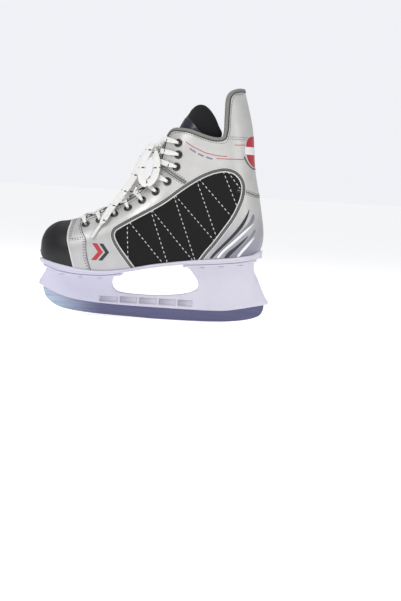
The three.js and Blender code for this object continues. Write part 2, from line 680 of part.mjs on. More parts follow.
const rivetHoles = rivets
  .map(({ x, y }) => turned(rod(RIVET_RADIUS + GAP, -80, 40), new THREE.Vector3(x, y, 0), up, 6))
  .reduce((all, hole) => all.add(hole));

const outsole = outsoleBlank.subtract(rivetHoles);
const board = insoleBoard.subtract(rivetHoles);
const holder = holderForm()
  .intersect(sidePrism(holderOutline))
  .subtract(sidePrism(windowOutline))
  .subtract(runnerSlot)
  .subtract(recesses)
  .subtract(rivetHoles);

// ---- Eyelets --------------------------------------------------------------------
const EYELET_LIFT = 0.65; // clears the curve of the shell under the flat flange
const EYELET_FLANGE = 0.9;
const eyeletBarrel = EYELET_BORE_RADIUS + EYELET_WALL;
const eyeletProfile = [
  [EYELET_BORE_RADIUS, -SHELL_THICKNESS - 0.4],
  [eyeletBarrel, -SHELL_THICKNESS - 0.4],
  [eyeletBarrel, EYELET_LIFT],
  [EYELET_RADIUS, EYELET_LIFT],
  [EYELET_RADIUS - 1.2, EYELET_LIFT + EYELET_FLANGE],
  [EYELET_BORE_RADIUS, EYELET_LIFT + EYELET_FLANGE],
  [EYELET_BORE_RADIUS, -SHELL_THICKNESS - 0.4],
];
const eyeletSolids = eyelets.map(([x, z]) => {
  const { point, normal } = onBoot(1, x, z);
  return turned(eyeletProfile, point, normal, 8);
});

// ---- Lace -------------------------------------------------------------------------
// A flat lace swept along route points { at, up, width }; up is its face's direction there.
function flatLace(route, stepsPerSpan) {
  const curve = new THREE.CatmullRomCurve3(route.map((p) => p.at), false, "centripetal");
  const spans = route.length - 1;
  const face = route[0].up.clone();
  const sections = [];
  for (let i = 0; i <= spans * stepsPerSpan; i += 1) {
    const t = i / (spans * stepsPerSpan);
    const k = Math.min(spans - 1, Math.floor(i / stepsPerSpan));
    const f = i / stepsPerSpan - k;
    const centre = curve.getPoint(t);
    const tangent = curve.getTangent(t);
    face.addScaledVector(tangent, -face.dot(tangent)).normalize();
    const wanted = route[k].up.clone().lerp(route[k + 1].up, f);
    wanted.addScaledVector(tangent, -wanted.dot(tangent));
    if (wanted.length() > 0.6) {
      wanted.normalize();
      if (wanted.dot(face) < 0) wanted.negate();
      face.lerp(wanted, 0.5).normalize();
    }
    const across = new THREE.Vector3().crossVectors(tangent, face).normalize();
    const width = lerp(route[k].width, route[k + 1].width, f) / 2;
    const thick = LACE_THICKNESS / 2;
    const ring = [[-1, 1], [1, 1], [1, -1], [-1, -1]].map(([a, b]) =>
      centre.clone().addScaledVector(across, a * width).addScaledVector(face, b * thick),
    );
    sections.push(ring);
  }
  return loftTriangles(sections);
}
const laceGeometry = (route, steps) => solid(geometryFromTriangles(flatLace(route, steps)));

const LACE_OPEN_WIDTH = 6.4;
const lacePoint = (side, [x, z], out, width) => {
  const { point, normal } = onBoot(side, x, z, out);
  return { at: point, up: normal, width };
};
// The run of a lace out of eyelet i, over the shell, to just short of the ridge.
function outOfEyelet(side, i) {
  const [x, z] = eyelets[i];
  const { dir, reach } = towardsRidge([x, z]);
  const along = (d) => [x + dir[0] * d, z + dir[1] * d];
  const through = lacePoint(side, [x, z], -1.2, LACE_BUNCHED_WIDTH);
  through.up = new THREE.Vector3(dir[0], 0, dir[1]);
  return [
    through,
    lacePoint(side, along(0.8), 3, LACE_BUNCHED_WIDTH + 0.4),
    lacePoint(side, along(6), 2.9, LACE_OPEN_WIDTH - 1),
    ...[0.5, 0.8]
      .map((share) => share * (reach - 3))
      .filter((d) => d > 9)
      .map((d) => lacePoint(side, along(d), 2.3, LACE_OPEN_WIDTH)),
    lacePoint(side, along(reach - 3), 2.5, LACE_OPEN_WIDTH),
  ];
}
// The run under the shell from the ridge into eyelet i.
function intoEyelet(side, i) {
  const [x, z] = eyelets[i];
  const { dir, reach } = towardsRidge([x, z]);
  const along = (d) => [x + dir[0] * d, z + dir[1] * d];
  return [
    lacePoint(side, along(reach - 2.2), -4.9, LACE_OPEN_WIDTH - 1.4),
    lacePoint(side, along(reach * 0.55), -5.2, LACE_OPEN_WIDTH - 2),
    lacePoint(side, along(reach * 0.28), -5.3, LACE_BUNCHED_WIDTH + 0.6),
    lacePoint(side, along(0.6), -5, LACE_BUNCHED_WIDTH),
  ];
}
// Over the ridge between eyelets i and i + 1; one strand crosses on top of the other.
function crossing(i, over) {
  const middle = [(eyelets[i][0] + eyelets[i + 1][0]) / 2, (eyelets[i][1] + eyelets[i + 1][1]) / 2];
  const { dir, reach } = towardsRidge(middle);
  const out = reach + (over ? 0.6 : -1.8);
  return {
    at: new THREE.Vector3(middle[0] + dir[0] * out, 0, middle[1] + dir[1] * out),
    up: new THREE.Vector3(dir[0], 0, dir[1]),
    width: LACE_OPEN_WIDTH,
  };
}
const KNOT = graded([-101.5, 121]);
const KNOT_RADIUS = 6.2;
function halfLacing(side) {
  const route = [];
  for (let i = 0; i < eyelets.length; i += 1) {
    const here = i % 2 ? -side : side;
    route.push(...outOfEyelet(here, i));
    if (i < eyelets.length - 1)
      route.push(crossing(i, side > 0), ...intoEyelet(-here, i + 1));
  }
  const last = eyelets.length % 2 ? side : -side;
  route.push({
    at: new THREE.Vector3(KNOT[0] + 1.5, last * (KNOT_RADIUS + 1.6), KNOT[1] + 4),
    up: new THREE.Vector3(-1, 0, 0.2),
    width: LACE_OPEN_WIDTH - 1.5,
  });
  return route;
}
// The bar inside the shell that joins the two foremost eyelets.
function lowestBar() {
  const [x, z] = eyelets[0];
  const { dir, reach } = towardsRidge([x, z]);
  const half = (side) => [
    lacePoint(side, [x + dir[0] * 0.6, z + dir[1] * 0.6], -5, LACE_BUNCHED_WIDTH - 0.4),
    lacePoint(side, [x - 1, z + 8], -4.3, LACE_OPEN_WIDTH - 1),
  ];
  const middle = {
    at: new THREE.Vector3(x + dir[0] * (reach - 4), 0, z + dir[1] * (reach - 4)),
    up: new THREE.Vector3(dir[0], 0, dir[1]),
    width: LACE_OPEN_WIDTH - 1,
  };
  return [...half(-1), middle, ...half(1).reverse()];
}
const lacing = laceGeometry([...halfLacing(-1).reverse(), ...lowestBar(), ...halfLacing(1)], 1);

// The knot in front of the top crossings, two bow loops and the lace's two ends.
const knot = solid(new THREE.SphereGeometry(KNOT_RADIUS, 12, 8))
  .add(solid(new THREE.SphereGeometry(KNOT_RADIUS * 0.8, 10, 6).translate(-1, -3.2, 1.5)))
  .add(solid(new THREE.SphereGeometry(KNOT_RADIUS * 0.8, 10, 6).translate(-1, 3.2, 1.5)))
  .translate(KNOT[0], 0, KNOT[1]);

// A loose lace's route: [x, y, z] points, the face leaning forwards and to one side.
function looseRoute(points, lean) {
  const face = new THREE.Vector3(-0.45, lean, 0.35).normalize();
  return points.map(([x, y, z]) => {
    const [gx, gz] = graded([x, z]);
    return { at: new THREE.Vector3(gx, y, gz), up: face, width: LACE_WIDTH };
  });
}
const LEFT_LOOP = [
  [-104.2, -9.3, 127.5], [-107, -14.2, 124.5], [-109.5, -18, 117], [-113, -21.5, 108],
  [-115.6, -24.5, 98], [-116.2, -27.5, 89], [-114.5, -30.5, 81.5], [-110, -33, 77.8],
  [-104.5, -34, 79.5], [-100.2, -33.5, 85], [-98, -31, 93], [-97.6, -27, 102],
  [-99.2, -23, 109.5], [-101.2, -18, 114.5], [-102.8, -13, 118], [-104, -9.5, 119.4],
];
const RIGHT_LOOP = [
  [-104.2, 9.1, 127.2], [-108, 14.5, 124.5], [-111, 19, 117], [-115, 23, 107.5], [-118.5, 26.5, 97],
  [-120.5, 30, 87], [-120.5, 33.5, 78.5], [-117, 36.5, 73], [-111, 38, 72.5],
  [-105.5, 37.5, 77.5], [-101.5, 35.5, 86], [-99.5, 31.5, 96], [-99, 26, 105.5],
  [-100, 19.5, 113], [-102.8, 14, 117], [-104, 9.2, 119.4],
];
const LONG_END = [
  [-109.3, -1.5, 120], [-113.5, -3.5, 114], [-117.5, -5.5, 106], [-121, -8, 96.5],
  [-125, -11, 86.5], [-130, -14.5, 76.5], [-136, -18.5, 66.5], [-142.5, -23.5, 57],
  [-149, -29, 47.5], [-154.8, -35.2, 38], [-159, -41.2, 29.5], [-163, -43.5, 22.5],
];
const SHORT_END = [
  [-106.5, 3.2, 118.1], [-112.2, 6.6, 111], [-117, 11, 102.5], [-120.5, 15, 93.5],
  [-124, 19.5, 84], [-127.5, 24, 74.5], [-131, 29, 65.5], [-134, 35, 57], [-136.5, 39.5, 48.5],
];
const looseLace = (points, lean) => laceGeometry(looseRoute(points, lean), 2);
function laceEnd(points, lean) {
  const route = looseRoute(points, lean);
  route.at(-1).width = LACE_BUNCHED_WIDTH;
  return laceGeometry(route, 2);
}

// A crimped sleeve on a lace's end, from the last point of its route.
const AGLET_LENGTH = 19;
const AGLET_RADIUS = 1.9;
function aglet(points) {
  const [before, end] = looseRoute(points.slice(-2), 0).map((p) => p.at);
  const axis = end.clone().sub(before).normalize();
  const start = end.addScaledVector(axis, GAP);
  const profile = [
    [0, 0], [AGLET_RADIUS, 0], [AGLET_RADIUS, AGLET_LENGTH - 1.5],
    [AGLET_RADIUS * 0.6, AGLET_LENGTH], [0, AGLET_LENGTH],
  ];
  return turned(profile, start, axis, 8);
}
const shortAglet = aglet(SHORT_END);
const longAglet = aglet(LONG_END);

// ---- Scene graph --------------------------------------------------------------------
const finish = (color, roughness, metalness = 0) =>
  new THREE.MeshStandardMaterial({ color, roughness, metalness });
const silver = finish(0xcdcdc4, 0.42, 0.1);
const blackCloth = finish(0x1e1e1e, 0.85);
const blackPlastic = finish(0x171519, 0.35);
const greyFoam = finish(0x2a2a2c, 0.9);
const whitePlastic = finish(0xd2ccda, 0.4);
const steel = finish(0xa9adb8, 0.25, 0.9);
const laceCloth = finish(0xeae8e2, 0.8);
const boardFibre = finish(0x8a7658, 0.8);

const skate = new THREE.Group();
skate.name = "hockey_skate";
function add(name, body, material) {
  const piece = new THREE.Mesh(body.isBufferGeometry ? body : geometryOf(body), material);
  piece.name = name;
  skate.add(piece);
}
function addPair(name, body, material) {
  const right = geometryOf(body);
  add(`right_${name}`, right, material);
  add(`left_${name}`, mirrored(right), material);
}

add("toe_cap", toeCap, blackPlastic);
add("vamp", vamp, silver);
addPair("lower_quarter", lowerQuarter, silver);
addPair("upper_quarter", upperQuarter, silver);
addPair("side_panel", sidePanel, blackCloth);
add("heel_counter", heelCounter, silver);
add("tendon_guard", tendonGuard, silver);
add("guard_pad", guardPad, greyFoam);
add("ankle_lining", lining, greyFoam);
add("tongue_lower", tongueLower, blackCloth);
add("tongue_upper", tongueUpper, blackCloth);
add("insole_board", board, boardFibre);
add("footbed", footbed, greyFoam);
add("outsole", outsole, whitePlastic);
add("blade_holder", holder, whitePlastic);
add("runner", runner, steel);
rivetSolids.forEach((body, i) => add(`sole_rivet_${i + 1}`, body, steel));
eyeletSolids.forEach((body, i) => addPair(`eyelet_${i + 1}`, body, blackPlastic));
add("lacing", lacing, laceCloth);
add("bow_knot", knot, laceCloth);
add("left_bow_loop", looseLace(LEFT_LOOP, -0.8), laceCloth);
add("right_bow_loop", looseLace(RIGHT_LOOP, 0.8), laceCloth);
add("short_lace_end", laceEnd(SHORT_END, 0.8), laceCloth);
add("long_lace_end", laceEnd(LONG_END, -0.8), laceCloth);
add("short_aglet", shortAglet, whitePlastic);
add("long_aglet", longAglet, whitePlastic);

export default skate;
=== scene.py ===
"""Ice hockey skate: the looks of its boot, blade holder, runner and lace.

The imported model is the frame. The boot's skins are drawn again here from the same form, finer,
and get their seams, stitches, bindings, prints and woven lace. Lengths in the form are in
millimetres and meshes are in metres. Toe towards -X, wearer's left towards -Y, +Z up.
"""
import math

import bpy
import numpy as np
from bpy.props import FloatProperty, FloatVectorProperty, PointerProperty
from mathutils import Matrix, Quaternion, Vector


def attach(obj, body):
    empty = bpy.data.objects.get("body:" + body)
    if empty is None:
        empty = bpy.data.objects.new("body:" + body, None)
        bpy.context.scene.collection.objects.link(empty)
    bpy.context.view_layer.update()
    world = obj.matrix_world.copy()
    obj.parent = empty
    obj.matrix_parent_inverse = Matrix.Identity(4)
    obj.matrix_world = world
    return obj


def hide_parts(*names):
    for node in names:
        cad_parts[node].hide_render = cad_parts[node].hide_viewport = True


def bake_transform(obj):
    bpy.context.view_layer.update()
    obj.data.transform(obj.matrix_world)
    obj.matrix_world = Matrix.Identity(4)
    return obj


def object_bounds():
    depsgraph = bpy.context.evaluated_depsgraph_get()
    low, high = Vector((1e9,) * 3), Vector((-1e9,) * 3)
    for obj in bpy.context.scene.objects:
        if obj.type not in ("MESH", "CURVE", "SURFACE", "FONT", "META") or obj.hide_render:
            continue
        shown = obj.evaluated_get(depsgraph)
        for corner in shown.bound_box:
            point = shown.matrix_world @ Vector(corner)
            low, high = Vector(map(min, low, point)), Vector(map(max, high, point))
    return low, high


bl_info = {
    "name": "Ice hockey skate",
    "version": (1, 0, 0),
    "blender": (4, 5, 0),
    "location": "3D View > Sidebar > Skate",
    "description": "Builds the looks of an ice hockey skate around its packed model",
    "category": "Object",
}

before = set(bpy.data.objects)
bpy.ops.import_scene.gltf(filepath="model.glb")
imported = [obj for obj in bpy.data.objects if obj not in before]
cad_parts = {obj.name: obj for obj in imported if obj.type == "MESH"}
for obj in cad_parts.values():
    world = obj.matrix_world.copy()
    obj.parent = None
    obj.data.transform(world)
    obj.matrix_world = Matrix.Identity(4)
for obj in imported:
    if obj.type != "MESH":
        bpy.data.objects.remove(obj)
CAD_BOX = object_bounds()
MM = 0.001
BOOT, TONGUE_TOP, GUARD = "boot", "tongue_top", "guard"


# ---- The boot's form ---------------------------------------------------------------
def spline(points, count):
    """A centripetal Catmull-Rom line through the points, as count + 1 places."""
    p = np.asarray(points, float)
    spans = len(p) - 1
    places = []
    for k in range(count + 1):
        at = spans * k / count
        i = min(int(at), spans - 1)
        f = at - i
        first = p[i - 1] if i else 2 * p[0] - p[1]
        last = p[i + 2] if i + 2 < len(p) else 2 * p[-1] - p[-2]
        q = [first, p[i], p[i + 1], last]
        a, b, c = [max(np.sum((v - u) ** 2) ** 0.25, 1e-4) for u, v in zip(q, q[1:])]
        m1 = ((q[1] - q[0]) / a - (q[2] - q[0]) / (a + b) + (q[2] - q[1]) / b) * b
        m2 = ((q[2] - q[1]) / b - (q[3] - q[1]) / (b + c) + (q[3] - q[2]) / c) * b
        bend = 2 * q[1] - 2 * q[2] + m1 + m2
        lean = 3 * (q[2] - q[1]) - 2 * m1 - m2
        places.append(q[1] + f * (m1 + f * (lean + f * bend)))
    return np.array(places)


def smoothstep(a, b, v):
    t = np.clip((v - a) / (b - a), 0, 1)
    return t * t * (3 - 2 * t)


def quarter_round(u, power):
    """A quarter of a superellipse: 0 at 0, level from 1 on."""
    u = np.clip(u, 0, 1)
    return (1 - (1 - u) ** power) ** (1 / power)


def eased(keys, values, blur):
    """A line through keys and values with its corners softened over blur."""
    at = np.arange(min(keys) - 60, max(keys) + 60, 1.0)
    reach = np.arange(-3 * blur, 3 * blur + 1)
    weight = np.exp(-0.5 * (reach / blur) ** 2)
    padded = np.interp(np.arange(at[0] - 3 * blur, at[-1] + 3 * blur + 1), keys, values)
    soft = np.convolve(padded, weight / weight.sum(), "valid")
    return lambda q: np.interp(q, at, soft[: len(at)])


RIDGE = [
    (-232, -23), (-236, -17), (-236.6, -8), (-235.5, 2), (-230, 13.5), (-218, 22.5),
    (-200, 26.5), (-178, 36), (-151, 48), (-128, 62), (-108, 82), (-99, 100),
    (-97, 106), (-95.6, 112), (-94.6, 118), (-93, 127),
    (-90, 139), (-83, 154), (-72, 176), (-57, 206),
]
RIM = [
    (-232, -23), (-228, -24.4), (-223, -25.6), (-217, -27), (-208, -28.7), (-198, -30.3),
    (-182, -32.6), (-158, -33.2), (-130, -29.6), (-95, -21.7), (-50, -14.4), (0, -8.4),
    (22, -4.4), (32, -1.9), (37.5, 2), (41, 18),
    (34.5, 62), (25.6, 103), (19.5, 153), (4.5, 208),
]
PROFILE_STEPS = 30
HEEL_CORNER = 14
RIDGE_LINE = spline(RIDGE, (len(RIDGE) - 1) * PROFILE_STEPS)
RIM_LINE = spline(RIM, (len(RIM) - 1) * PROFILE_STEPS)
HUB = (-200.0, 215.0)
NOSE_X = RIDGE[2][0]
NOSE_ROUND, DOME_DEPTH, BACK_DEPTH = 64.0, 42.0, 35.0
SHELL_THICKNESS, LINING_INSET, LINING_THICKNESS = 2.4, 3.75, 3.8
GUARD_PAD_THICKNESS, TONGUE_THICKNESS = 4.5, 6.0
SOLE_MARGIN = 1.4
HEEL_RISE_START, HEEL_RISE = 30, 0.17
FAR = 50.0


def sole_edge(x):
    """The height of the boot's lower edge."""
    line = RIM_LINE[: HEEL_CORNER * PROFILE_STEPS + 1]
    return np.interp(x, line[:, 0], line[:, 1])


def sole_line(x):
    """The sole's top edge, which rises under the back of the heel."""
    past = np.maximum(0, x - HEEL_RISE_START)
    return sole_edge(np.minimum(x, HEEL_RISE_START)) + past * HEEL_RISE


def back_edge(z):
    """How far back the heel reaches at a height."""
    line = RIM_LINE[HEEL_CORNER * PROFILE_STEPS:]
    return np.interp(z, line[:, 1], line[:, 0])


def hub_angle(x, z):
    return np.arctan2(x - HUB[0], HUB[1] - z)


def ridge_polar():
    """The ridge as angle and radius about the hub."""
    angle = hub_angle(RIDGE_LINE[:, 0], RIDGE_LINE[:, 1])
    radius = np.hypot(RIDGE_LINE[:, 0] - HUB[0], RIDGE_LINE[:, 1] - HUB[1])
    start = int(np.argmin(angle))
    return angle[start:], radius[start:]


RIDGE_ANGLE, RIDGE_RADIUS = ridge_polar()


def below_ridge(x, z):
    """How far inside the ridge a side-view place lies."""
    away = np.hypot(x - HUB[0], z - HUB[1])
    return away - np.interp(hub_angle(x, z), RIDGE_ANGLE, RIDGE_RADIUS)


sole_width = eased([-237, -165, -90, -45, 0, 60], [47, 47, 39, 36, 34, 34], 10)
shaft_width = eased([40, 92, 140, 172, 206], [36.4, 37, 35.5, 30.95, 26], 8)


def half_width(x, z, inset=0.0):
    """Half the boot's width at a side-view place, inset inwards all round."""
    leg = smoothstep(8, 84, z)
    lift = np.clip((z - sole_edge(x)) / 20, 0, 1)
    tuck = 1 - 0.075 * (1 - lift) ** 2
    full = sole_width(x) * tuck * (1 - leg) + shaft_width(z) * leg - inset
    dome = quarter_round((below_ridge(x, z) - inset) / (DOME_DEPTH - inset), 2.1)
    back = quarter_round((back_edge(z) - x - inset) / (BACK_DEPTH - inset), 2.1)
    nose = quarter_round((x - NOSE_X - inset) / NOSE_ROUND, 2.3)
    return full * dome * back * nose


def unit(v):
    return v / np.maximum(np.linalg.norm(v, axis=-1, keepdims=True), 1e-9)


def on_boot(side, line, out=0.0):
    """Places and normals on the boot's side for side-view points. Side -1 is the left."""
    line = np.atleast_2d(np.asarray(line, float))
    x, z = line[:, 0], line[:, 1]
    step = 0.5
    slope_x = (half_width(x + step, z) - half_width(x - step, z)) / (2 * step)
    slope_z = (half_width(x, z + step) - half_width(x, z - step)) / (2 * step)
    normal = unit(np.stack([-slope_x, np.ones_like(x), -slope_z], -1))
    place = np.stack([x, half_width(x, z), z], -1) + normal * np.reshape(out, (-1, 1))
    flip = np.array([1, side, 1])
    return place * flip, normal * flip


class FormGrid:
    """A fine grid over the boot's form at an inset, from the left rim over to the right."""

    def __init__(self, inset=0.0, raised=0.0, columns=420, rows=84, span=(0.0, 19.0)):
        inset_at = inset if callable(inset) else (lambda z: np.full_like(z, inset))
        keys = np.linspace(*[s * PROFILE_STEPS for s in span], 800)
        index = np.arange(len(RIDGE_LINE))

        def profile(line, at):
            return np.stack([np.interp(at, index, line[:, k]) for k in (0, 1)], -1)

        pace = sum(
            np.linalg.norm(np.diff(profile(line, keys), axis=0), axis=1)
            for line in (RIDGE_LINE, RIM_LINE)
        )
        run = np.concatenate([[0], np.cumsum(pace)])
        at = np.interp(np.linspace(0, run[-1], columns + 1), run, keys)
        ridge, rim = profile(RIDGE_LINE, at), profile(RIM_LINE, at)
        ahead, behind = profile(RIDGE_LINE, at + 1), profile(RIDGE_LINE, at - 1)
        along = ahead - behind
        inward = unit(np.stack([along[:, 1], -along[:, 0]], -1))
        ridge = ridge + inward * inset_at(ridge[:, 1])[:, None]
        heel = at > HEEL_CORNER * PROFILE_STEPS
        rim[:, 0] = np.minimum(rim[:, 0], back_edge(rim[:, 1]) - inset_at(rim[:, 1]))
        rim[~heel, 1] += raised
        front = np.minimum(ridge[:, 0], NOSE_X + inset_at(np.zeros(1))[0] + 3)
        rim[~heel, 0] = np.maximum(rim[~heel, 0], front[~heel])
        turn = np.linspace(-math.pi, math.pi, 2 * rows + 1)
        share = (1 - np.cos(np.abs(turn))) / 2
        flat = ridge[:, None] * (1 - share[None, :, None]) + rim[:, None] * share[None, :, None]
        x, z = flat[..., 0], flat[..., 1]
        y = half_width(x, z, inset_at(z)) * np.sign(turn)[None]
        y[heel, 0] = 0
        y[heel, -1] = 0
        self.places = np.stack([x, y, z], -1)
        along = np.gradient(self.places, axis=0)
        around = np.gradient(self.places, axis=1)
        normal = unit(np.cross(along, around))
        self.flipped = normal[columns // 2, rows // 2, 1] > 0
        if self.flipped:
            normal = -normal
        normal[heel, 0, 1] = 0
        normal[heel, -1, 1] = 0
        self.normals = unit(normal)

    @property
    def side_view(self):
        return self.places[..., [0, 2]]


def signed_distance(points, outline):
    """How far inside a closed outline each point lies; negative outside."""
    shape = points.shape[:-1]
    flat = points.reshape(-1, 2)
    ring = np.asarray(outline, float)
    ends = np.roll(ring, -1, axis=0)
    result = np.full(len(flat), -FAR)
    low, high = ring.min(0) - 6, ring.max(0) + 6
    near = np.nonzero(((flat > low) & (flat < high)).all(1))[0]
    for some in np.array_split(near, max(1, len(near) // 12000)):
        p = flat[some][:, None]
        edge = ends - ring
        share = np.sum((p - ring) * edge, -1) / np.maximum(np.sum(edge**2, -1), 1e-12)
        foot = ring + edge * np.clip(share, 0, 1)[..., None]
        gap = np.linalg.norm(p - foot, axis=-1).min(1)
        py, px = p[..., 1], p[..., 0]
        spans = (ring[:, 1] > py) != (ends[:, 1] > py)
        rise = np.where(edge[:, 1] == 0, 1e-12, edge[:, 1])
        hits = spans & (px < ring[:, 0] + (py - ring[:, 1]) * edge[:, 0] / rise)
        inside = hits.sum(1) % 2 == 1
        result[some] = np.where(inside, gap, -gap)
    return result.reshape(shape)


def clipped(places, normals, field, flipped):
    """The part of a grid where the field is positive: its vertices, normals and faces."""
    rows, columns = field.shape
    flat_p, flat_n, f = places.reshape(-1, 3), normals.reshape(-1, 3), field.ravel()
    index = np.arange(rows * columns).reshape(rows, columns)
    quads = np.stack([index[:-1, :-1], index[1:, :-1], index[1:, 1:], index[:-1, 1:]], -1)
    quads = quads.reshape(-1, 4)
    if flipped:
        quads = quads[:, ::-1]
    inside = f[quads] > 0
    faces = quads[inside.all(1)].tolist()
    more_p, more_n, known = [], [], {}

    def crossing(a, b):
        key = (min(a, b), max(a, b))
        if key not in known:
            u, v = key
            t = float(np.clip(f[u] / (f[u] - f[v]), 0.1, 0.9))
            more_p.append(flat_p[u] * (1 - t) + flat_p[v] * t)
            more_n.append(flat_n[u] * (1 - t) + flat_n[v] * t)
            known[key] = len(flat_p) + len(more_p) - 1
        return known[key]

    for quad in quads[inside.any(1) & ~inside.all(1)].tolist():
        ring = []
        for a, b in zip(quad, quad[1:] + quad[:1]):
            if f[a] > 0:
                ring.append(a)
            if (f[a] > 0) != (f[b] > 0):
                ring.append(crossing(a, b))
        faces.append(ring)
    all_p = np.concatenate([flat_p, more_p]) if more_p else flat_p
    all_n = np.concatenate([flat_n, more_n]) if more_n else flat_n
    used = sorted({v for face in faces for v in face})
    renamed = dict(zip(used, range(len(used))))
    return all_p[used], unit(all_n[used]), [[renamed[v] for v in face] for face in faces]


def thick_skin(places, normals, faces, thickness, roll, steps=3, roll_under=False):
    """A closed solid under a skin, its free edges rolled over by the radius."""
    thickness = np.broadcast_to(np.reshape(thickness, (-1, 1)), (len(places), 1))
    directed = {(a, b) for face in faces for a, b in zip(face, face[1:] + face[:1])}
    border = [(a, b) for a, b in directed if (b, a) not in directed]
    outward = np.zeros_like(places)
    for a, b in sorted(border):
        push = np.cross(unit(places[b] - places[a]), normals[a])
        outward[a] += push
        outward[b] += push
    rim = sorted({v for edge in border for v in edge})
    outward = unit(outward[rim])
    order = dict(zip(rim, range(len(rim))))
    base, up = places[rim], normals[rim]
    turns = [math.pi / 2 * (k + 1) / steps for k in range(steps)]
    rings = [base + outward * roll * math.sin(a) - up * roll * (1 - math.cos(a)) for a in turns]
    depth = thickness[rim]
    if roll_under:
        rings += [base + outward * roll * math.sin(a) - up * (depth - roll * (1 - math.cos(a)))
                  for a in reversed(turns)]
    else:
        rings.append(base + outward * roll - up * depth)
    count, ring_size = len(places), len(rim)
    made = [list(face) for face in faces]
    made += [[v + count for v in reversed(face)] for face in faces]

    def place_of(ring, v):
        if ring == 0:
            return v
        if ring == len(rings) + 1:
            return v + count
        return 2 * count + (ring - 1) * ring_size + order[v]

    for a, b in sorted(border):
        for k in range(len(rings) + 1):
            made.append([place_of(k, b), place_of(k, a), place_of(k + 1, a), place_of(k + 1, b)])
    under = places - normals * thickness
    return np.concatenate([places, under, *rings]), made


# ---- Meshes ---------------------------------------------------------------------------
def mesh_object(name, places, faces, material, uvs=None, crease=38.0):
    """A smooth-shaded mesh object at the origin, from places in millimetres."""
    mesh = bpy.data.meshes.new(name)
    mesh.from_pydata((np.asarray(places) * MM).tolist(), [], faces)
    if uvs is not None:
        layer = mesh.uv_layers.new(name="UVMap")
        layer.data.foreach_set("uv", np.asarray(uvs, np.float32).ravel())
    mesh.update()
    mesh.shade_smooth()
    mesh.set_sharp_from_angle(angle=math.radians(crease))
    mesh.materials.append(material)
    made = bpy.data.objects.new(name, mesh)
    bpy.context.scene.collection.objects.link(made)
    return made


def mirrored(places, faces):
    return np.asarray(places) * np.array([1, -1, 1]), [list(reversed(f)) for f in faces]


def merged(*shapes):
    """Several (places, faces) as one."""
    places, faces, start = [], [], 0
    for some, lists in shapes:
        places.append(some)
        faces += [[v + start for v in face] for face in lists]
        start += len(some)
    return np.concatenate(places), faces


def both_sides(shape):
    return merged(shape, mirrored(*shape))


def sweep(path, normals, profile, closed=False, widths=None):
    """A profile of (across, out) points carried along a path; returns places, faces, UVs."""
    path, normals = np.asarray(path, float), np.asarray(normals, float)
    tangent = np.gradient(path, axis=0)
    if closed:
        tangent = np.roll(path, -1, 0) - np.roll(path, 1, 0)
    tangent = unit(tangent)
    normals = unit(normals - tangent * np.sum(normals * tangent, -1, keepdims=True))
    across = np.cross(tangent, normals)
    profile = np.asarray(profile, float)
    count, around = len(path), len(profile)
    widths = np.ones(count) if widths is None else np.asarray(widths, float)
    side = across[:, None] * profile[None, :, :1] * widths[:, None, None]
    places = path[:, None] + side + normals[:, None] * profile[None, :, 1:]
    run = np.concatenate([[0], np.cumsum(np.linalg.norm(np.diff(path, axis=0), axis=1))])
    faces, uvs = [], []
    for i in range(count if closed else count - 1):
        ahead = (i + 1) % count
        for j in range(around):
            k = (j + 1) % around
            faces.append([i * around + j, i * around + k, ahead * around + k, ahead * around + j])
            u0 = run[i]
            u1 = run[i + 1] if i + 1 < count else run[i] + np.linalg.norm(path[0] - path[-1])
            v0, v1 = j / around, (j + 1) / around
            uvs += [(u0, v0), (u0, v1), (u1, v1), (u1, v0)]
    if not closed:
        last = (count - 1) * around
        faces += [list(reversed(range(around))), list(range(last, last + around))]
        uvs += [(run[0], 0.25)] * around + [(run[-1], 0.25)] * around
    return places.reshape(-1, 3), faces, np.array(uvs)


def superellipse(half_across, half_out, power, count):
    """A closed profile: an ellipse for power 2, nearer a rectangle above it."""
    ring = []
    for k in range(count):
        c, s = math.cos(2 * math.pi * k / count), math.sin(2 * math.pi * k / count)
        a = math.copysign(abs(c) ** (2 / power), c) * half_across
        b = math.copysign(abs(s) ** (2 / power), s) * half_out
        ring.append((a, b))
    return ring


def resampled(line, pitch):
    """The same line with a point about every pitch."""
    line = np.asarray(line, float)
    run = np.concatenate([[0], np.cumsum(np.linalg.norm(np.diff(line, axis=0), axis=1))])
    count = max(2, int(round(run[-1] / pitch)) + 1)
    at = np.linspace(0, run[-1], count)
    return np.stack([np.interp(at, run, line[:, k]) for k in range(line.shape[1])], -1)


def beside(line, distance):
    """A side-view line moved sideways: towards its left where distance is positive."""
    line = np.asarray(line, float)
    along = unit(np.gradient(line, axis=0))
    return line + np.stack([-along[:, 1], along[:, 0]], -1) * distance


def above_sole(line, clearance):
    """The points of a side-view line that clear the sole's edge."""
    line = np.asarray(line, float)
    return line[line[:, 1] > sole_edge(line[:, 0]) + clearance]


def softened(values, passes):
    """The values averaged with their neighbours, ends kept."""
    values = np.array(values, float)
    for _ in range(passes):
        values[1:-1] = (values[:-2] + 2 * values[1:-1] + values[2:]) / 4
    return values


